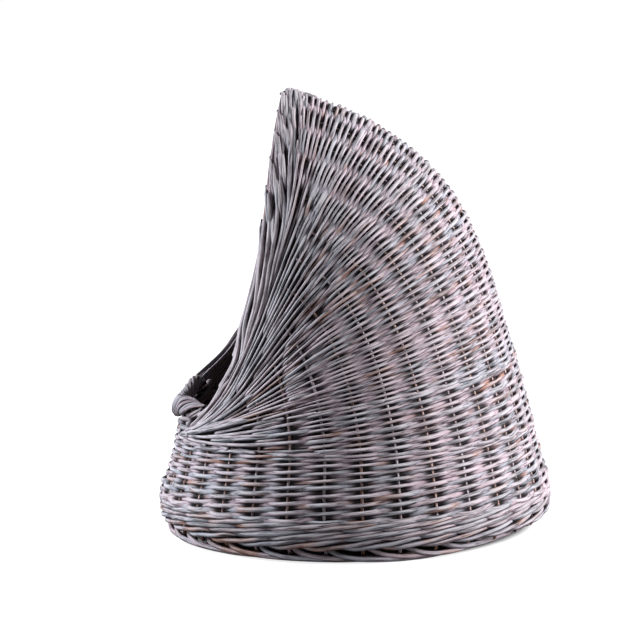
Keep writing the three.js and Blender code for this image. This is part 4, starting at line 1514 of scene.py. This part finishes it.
def studio_world():
    """White where it is seen directly, and a dim sky for all other rays."""
    world = bpy.data.worlds.new("Studio")
    world.use_nodes = True
    tree = world.node_tree
    sky = tree.nodes["Background"]
    sky.inputs["Color"].default_value = SKY_COLOUR
    sky.inputs["Strength"].default_value = SKY_STRENGTH
    white = shader_node(tree, "Background", WHITE, 1.0)
    mix = shader_node(tree, "MixShader", seen_directly(tree), sky.outputs[0], white.outputs[0])
    feed(tree, tree.nodes["World Output"].inputs["Surface"], mix.outputs[0])
    return world


def floor_material():
    """Matt white paper that takes the shadow; what it sends to the eye is lifted to white."""
    material = bpy.data.materials.new("White paper")
    material.use_nodes = True
    tree = material.node_tree
    shader = tree.nodes["Principled BSDF"]
    shader.inputs["Base Color"].default_value = PAPER_GREY
    shader.inputs["Roughness"].default_value = 0.9
    shader.inputs["Emission Color"].default_value = WHITE
    place = tree.nodes.new("ShaderNodeTexCoord").outputs["Object"]
    away = shader_node(tree, "VectorMath", place, operation="LENGTH").outputs["Value"]
    far = step_between(tree, away, *PAPER_FAR)
    glow = math_node(tree, "MULTIPLY_ADD", far, PAPER_FAR_GLOW, PAPER_GLOW)
    glow = math_node(tree, "MULTIPLY", glow, seen_directly(tree))
    glow = math_node(tree, "MULTIPLY", glow, step_between(tree, away, *PAPER_FOOT))
    feed(tree, shader.inputs["Emission Strength"], glow)
    return material


def paper_floor():
    """A square sheet of paper under the basket."""
    mesh = bpy.data.meshes.new("floor")
    signs = ((-1, -1), (1, -1), (1, 1), (-1, 1))
    corners = [(x * FLOOR_REACH, y * FLOOR_REACH, 0) for x, y in signs]
    mesh.from_pydata(corners, [], [(0, 1, 2, 3)])
    mesh.materials.append(floor_material())
    return put_in_scene("floor", mesh)


class BASKET_OT_stage(bpy.types.Operator):
    """Set the floor, the soft lights and the camera."""

    bl_idname = "basket.stage"
    bl_label = "Stage"

    def execute(self, context):
        scene = context.scene
        scene.view_settings.view_transform = "Standard"
        scene.world = studio_world()
        lens = bpy.data.cameras.new("Camera")
        lens.lens = CAMERA_LENS
        lens.sensor_width = 36
        lens.clip_start = 0.1
        lens.clip_end = 50
        roll = Matrix.Rotation(math.radians(CAMERA_ROLL), 4, "Z")
        scene.camera = put_in_scene("Camera", lens)
        scene.camera.matrix_world = aimed(CAMERA_PLACE, CAMERA_AIM) @ roll
        for name, place, size, power, colour in LAMPS:
            light = bpy.data.lights.new(name, "AREA")
            light.size = size
            light.energy = power
            light.color = colour
            put_in_scene(name, light).matrix_world = aimed(place, LAMP_AIM)
        floor = paper_floor()
        return {"FINISHED"}


class BASKET_PT_panel(bpy.types.Panel):
    """Basket pieces in the order in which they are made."""

    bl_idname = "BASKET_PT_panel"
    bl_label = "Cat basket"
    bl_space_type = "VIEW_3D"
    bl_region_type = "UI"
    bl_category = "Basket"

    def draw(self, context):
        for group in (context.scene.basket_sizes, context.scene.basket_colours):
            for name in group.__annotations__:
                self.layout.prop(group, name)
        for operator in MAKERS:
            self.layout.operator(operator.bl_idname)


MAKERS = (
    BASKET_OT_stage,
    BASKET_OT_base,
    BASKET_OT_foot,
    BASKET_OT_stakes,
    BASKET_OT_wale,
    BASKET_OT_wall,
    BASKET_OT_hood,
    BASKET_OT_entrance,
)
CLASSES = (BasketSizes, BasketColours, *MAKERS, BASKET_PT_panel)


def register():
    for item in CLASSES:
        bpy.utils.register_class(item)
    bpy.types.Scene.basket_sizes = bpy.props.PointerProperty(type=BasketSizes)
    bpy.types.Scene.basket_colours = bpy.props.PointerProperty(type=BasketColours)


def unregister():
    del bpy.types.Scene.basket_colours
    del bpy.types.Scene.basket_sizes
    for item in reversed(CLASSES):
        bpy.utils.unregister_class(item)


def main():
    register()
    bpy.ops.basket.stage()
    bpy.ops.basket.base()
    bpy.ops.basket.foot()
    bpy.ops.basket.stakes()
    bpy.ops.basket.wale()
    bpy.ops.basket.wall()
    bpy.ops.basket.hood()
    bpy.ops.basket.entrance()


if __name__ == "__main__":
    main()
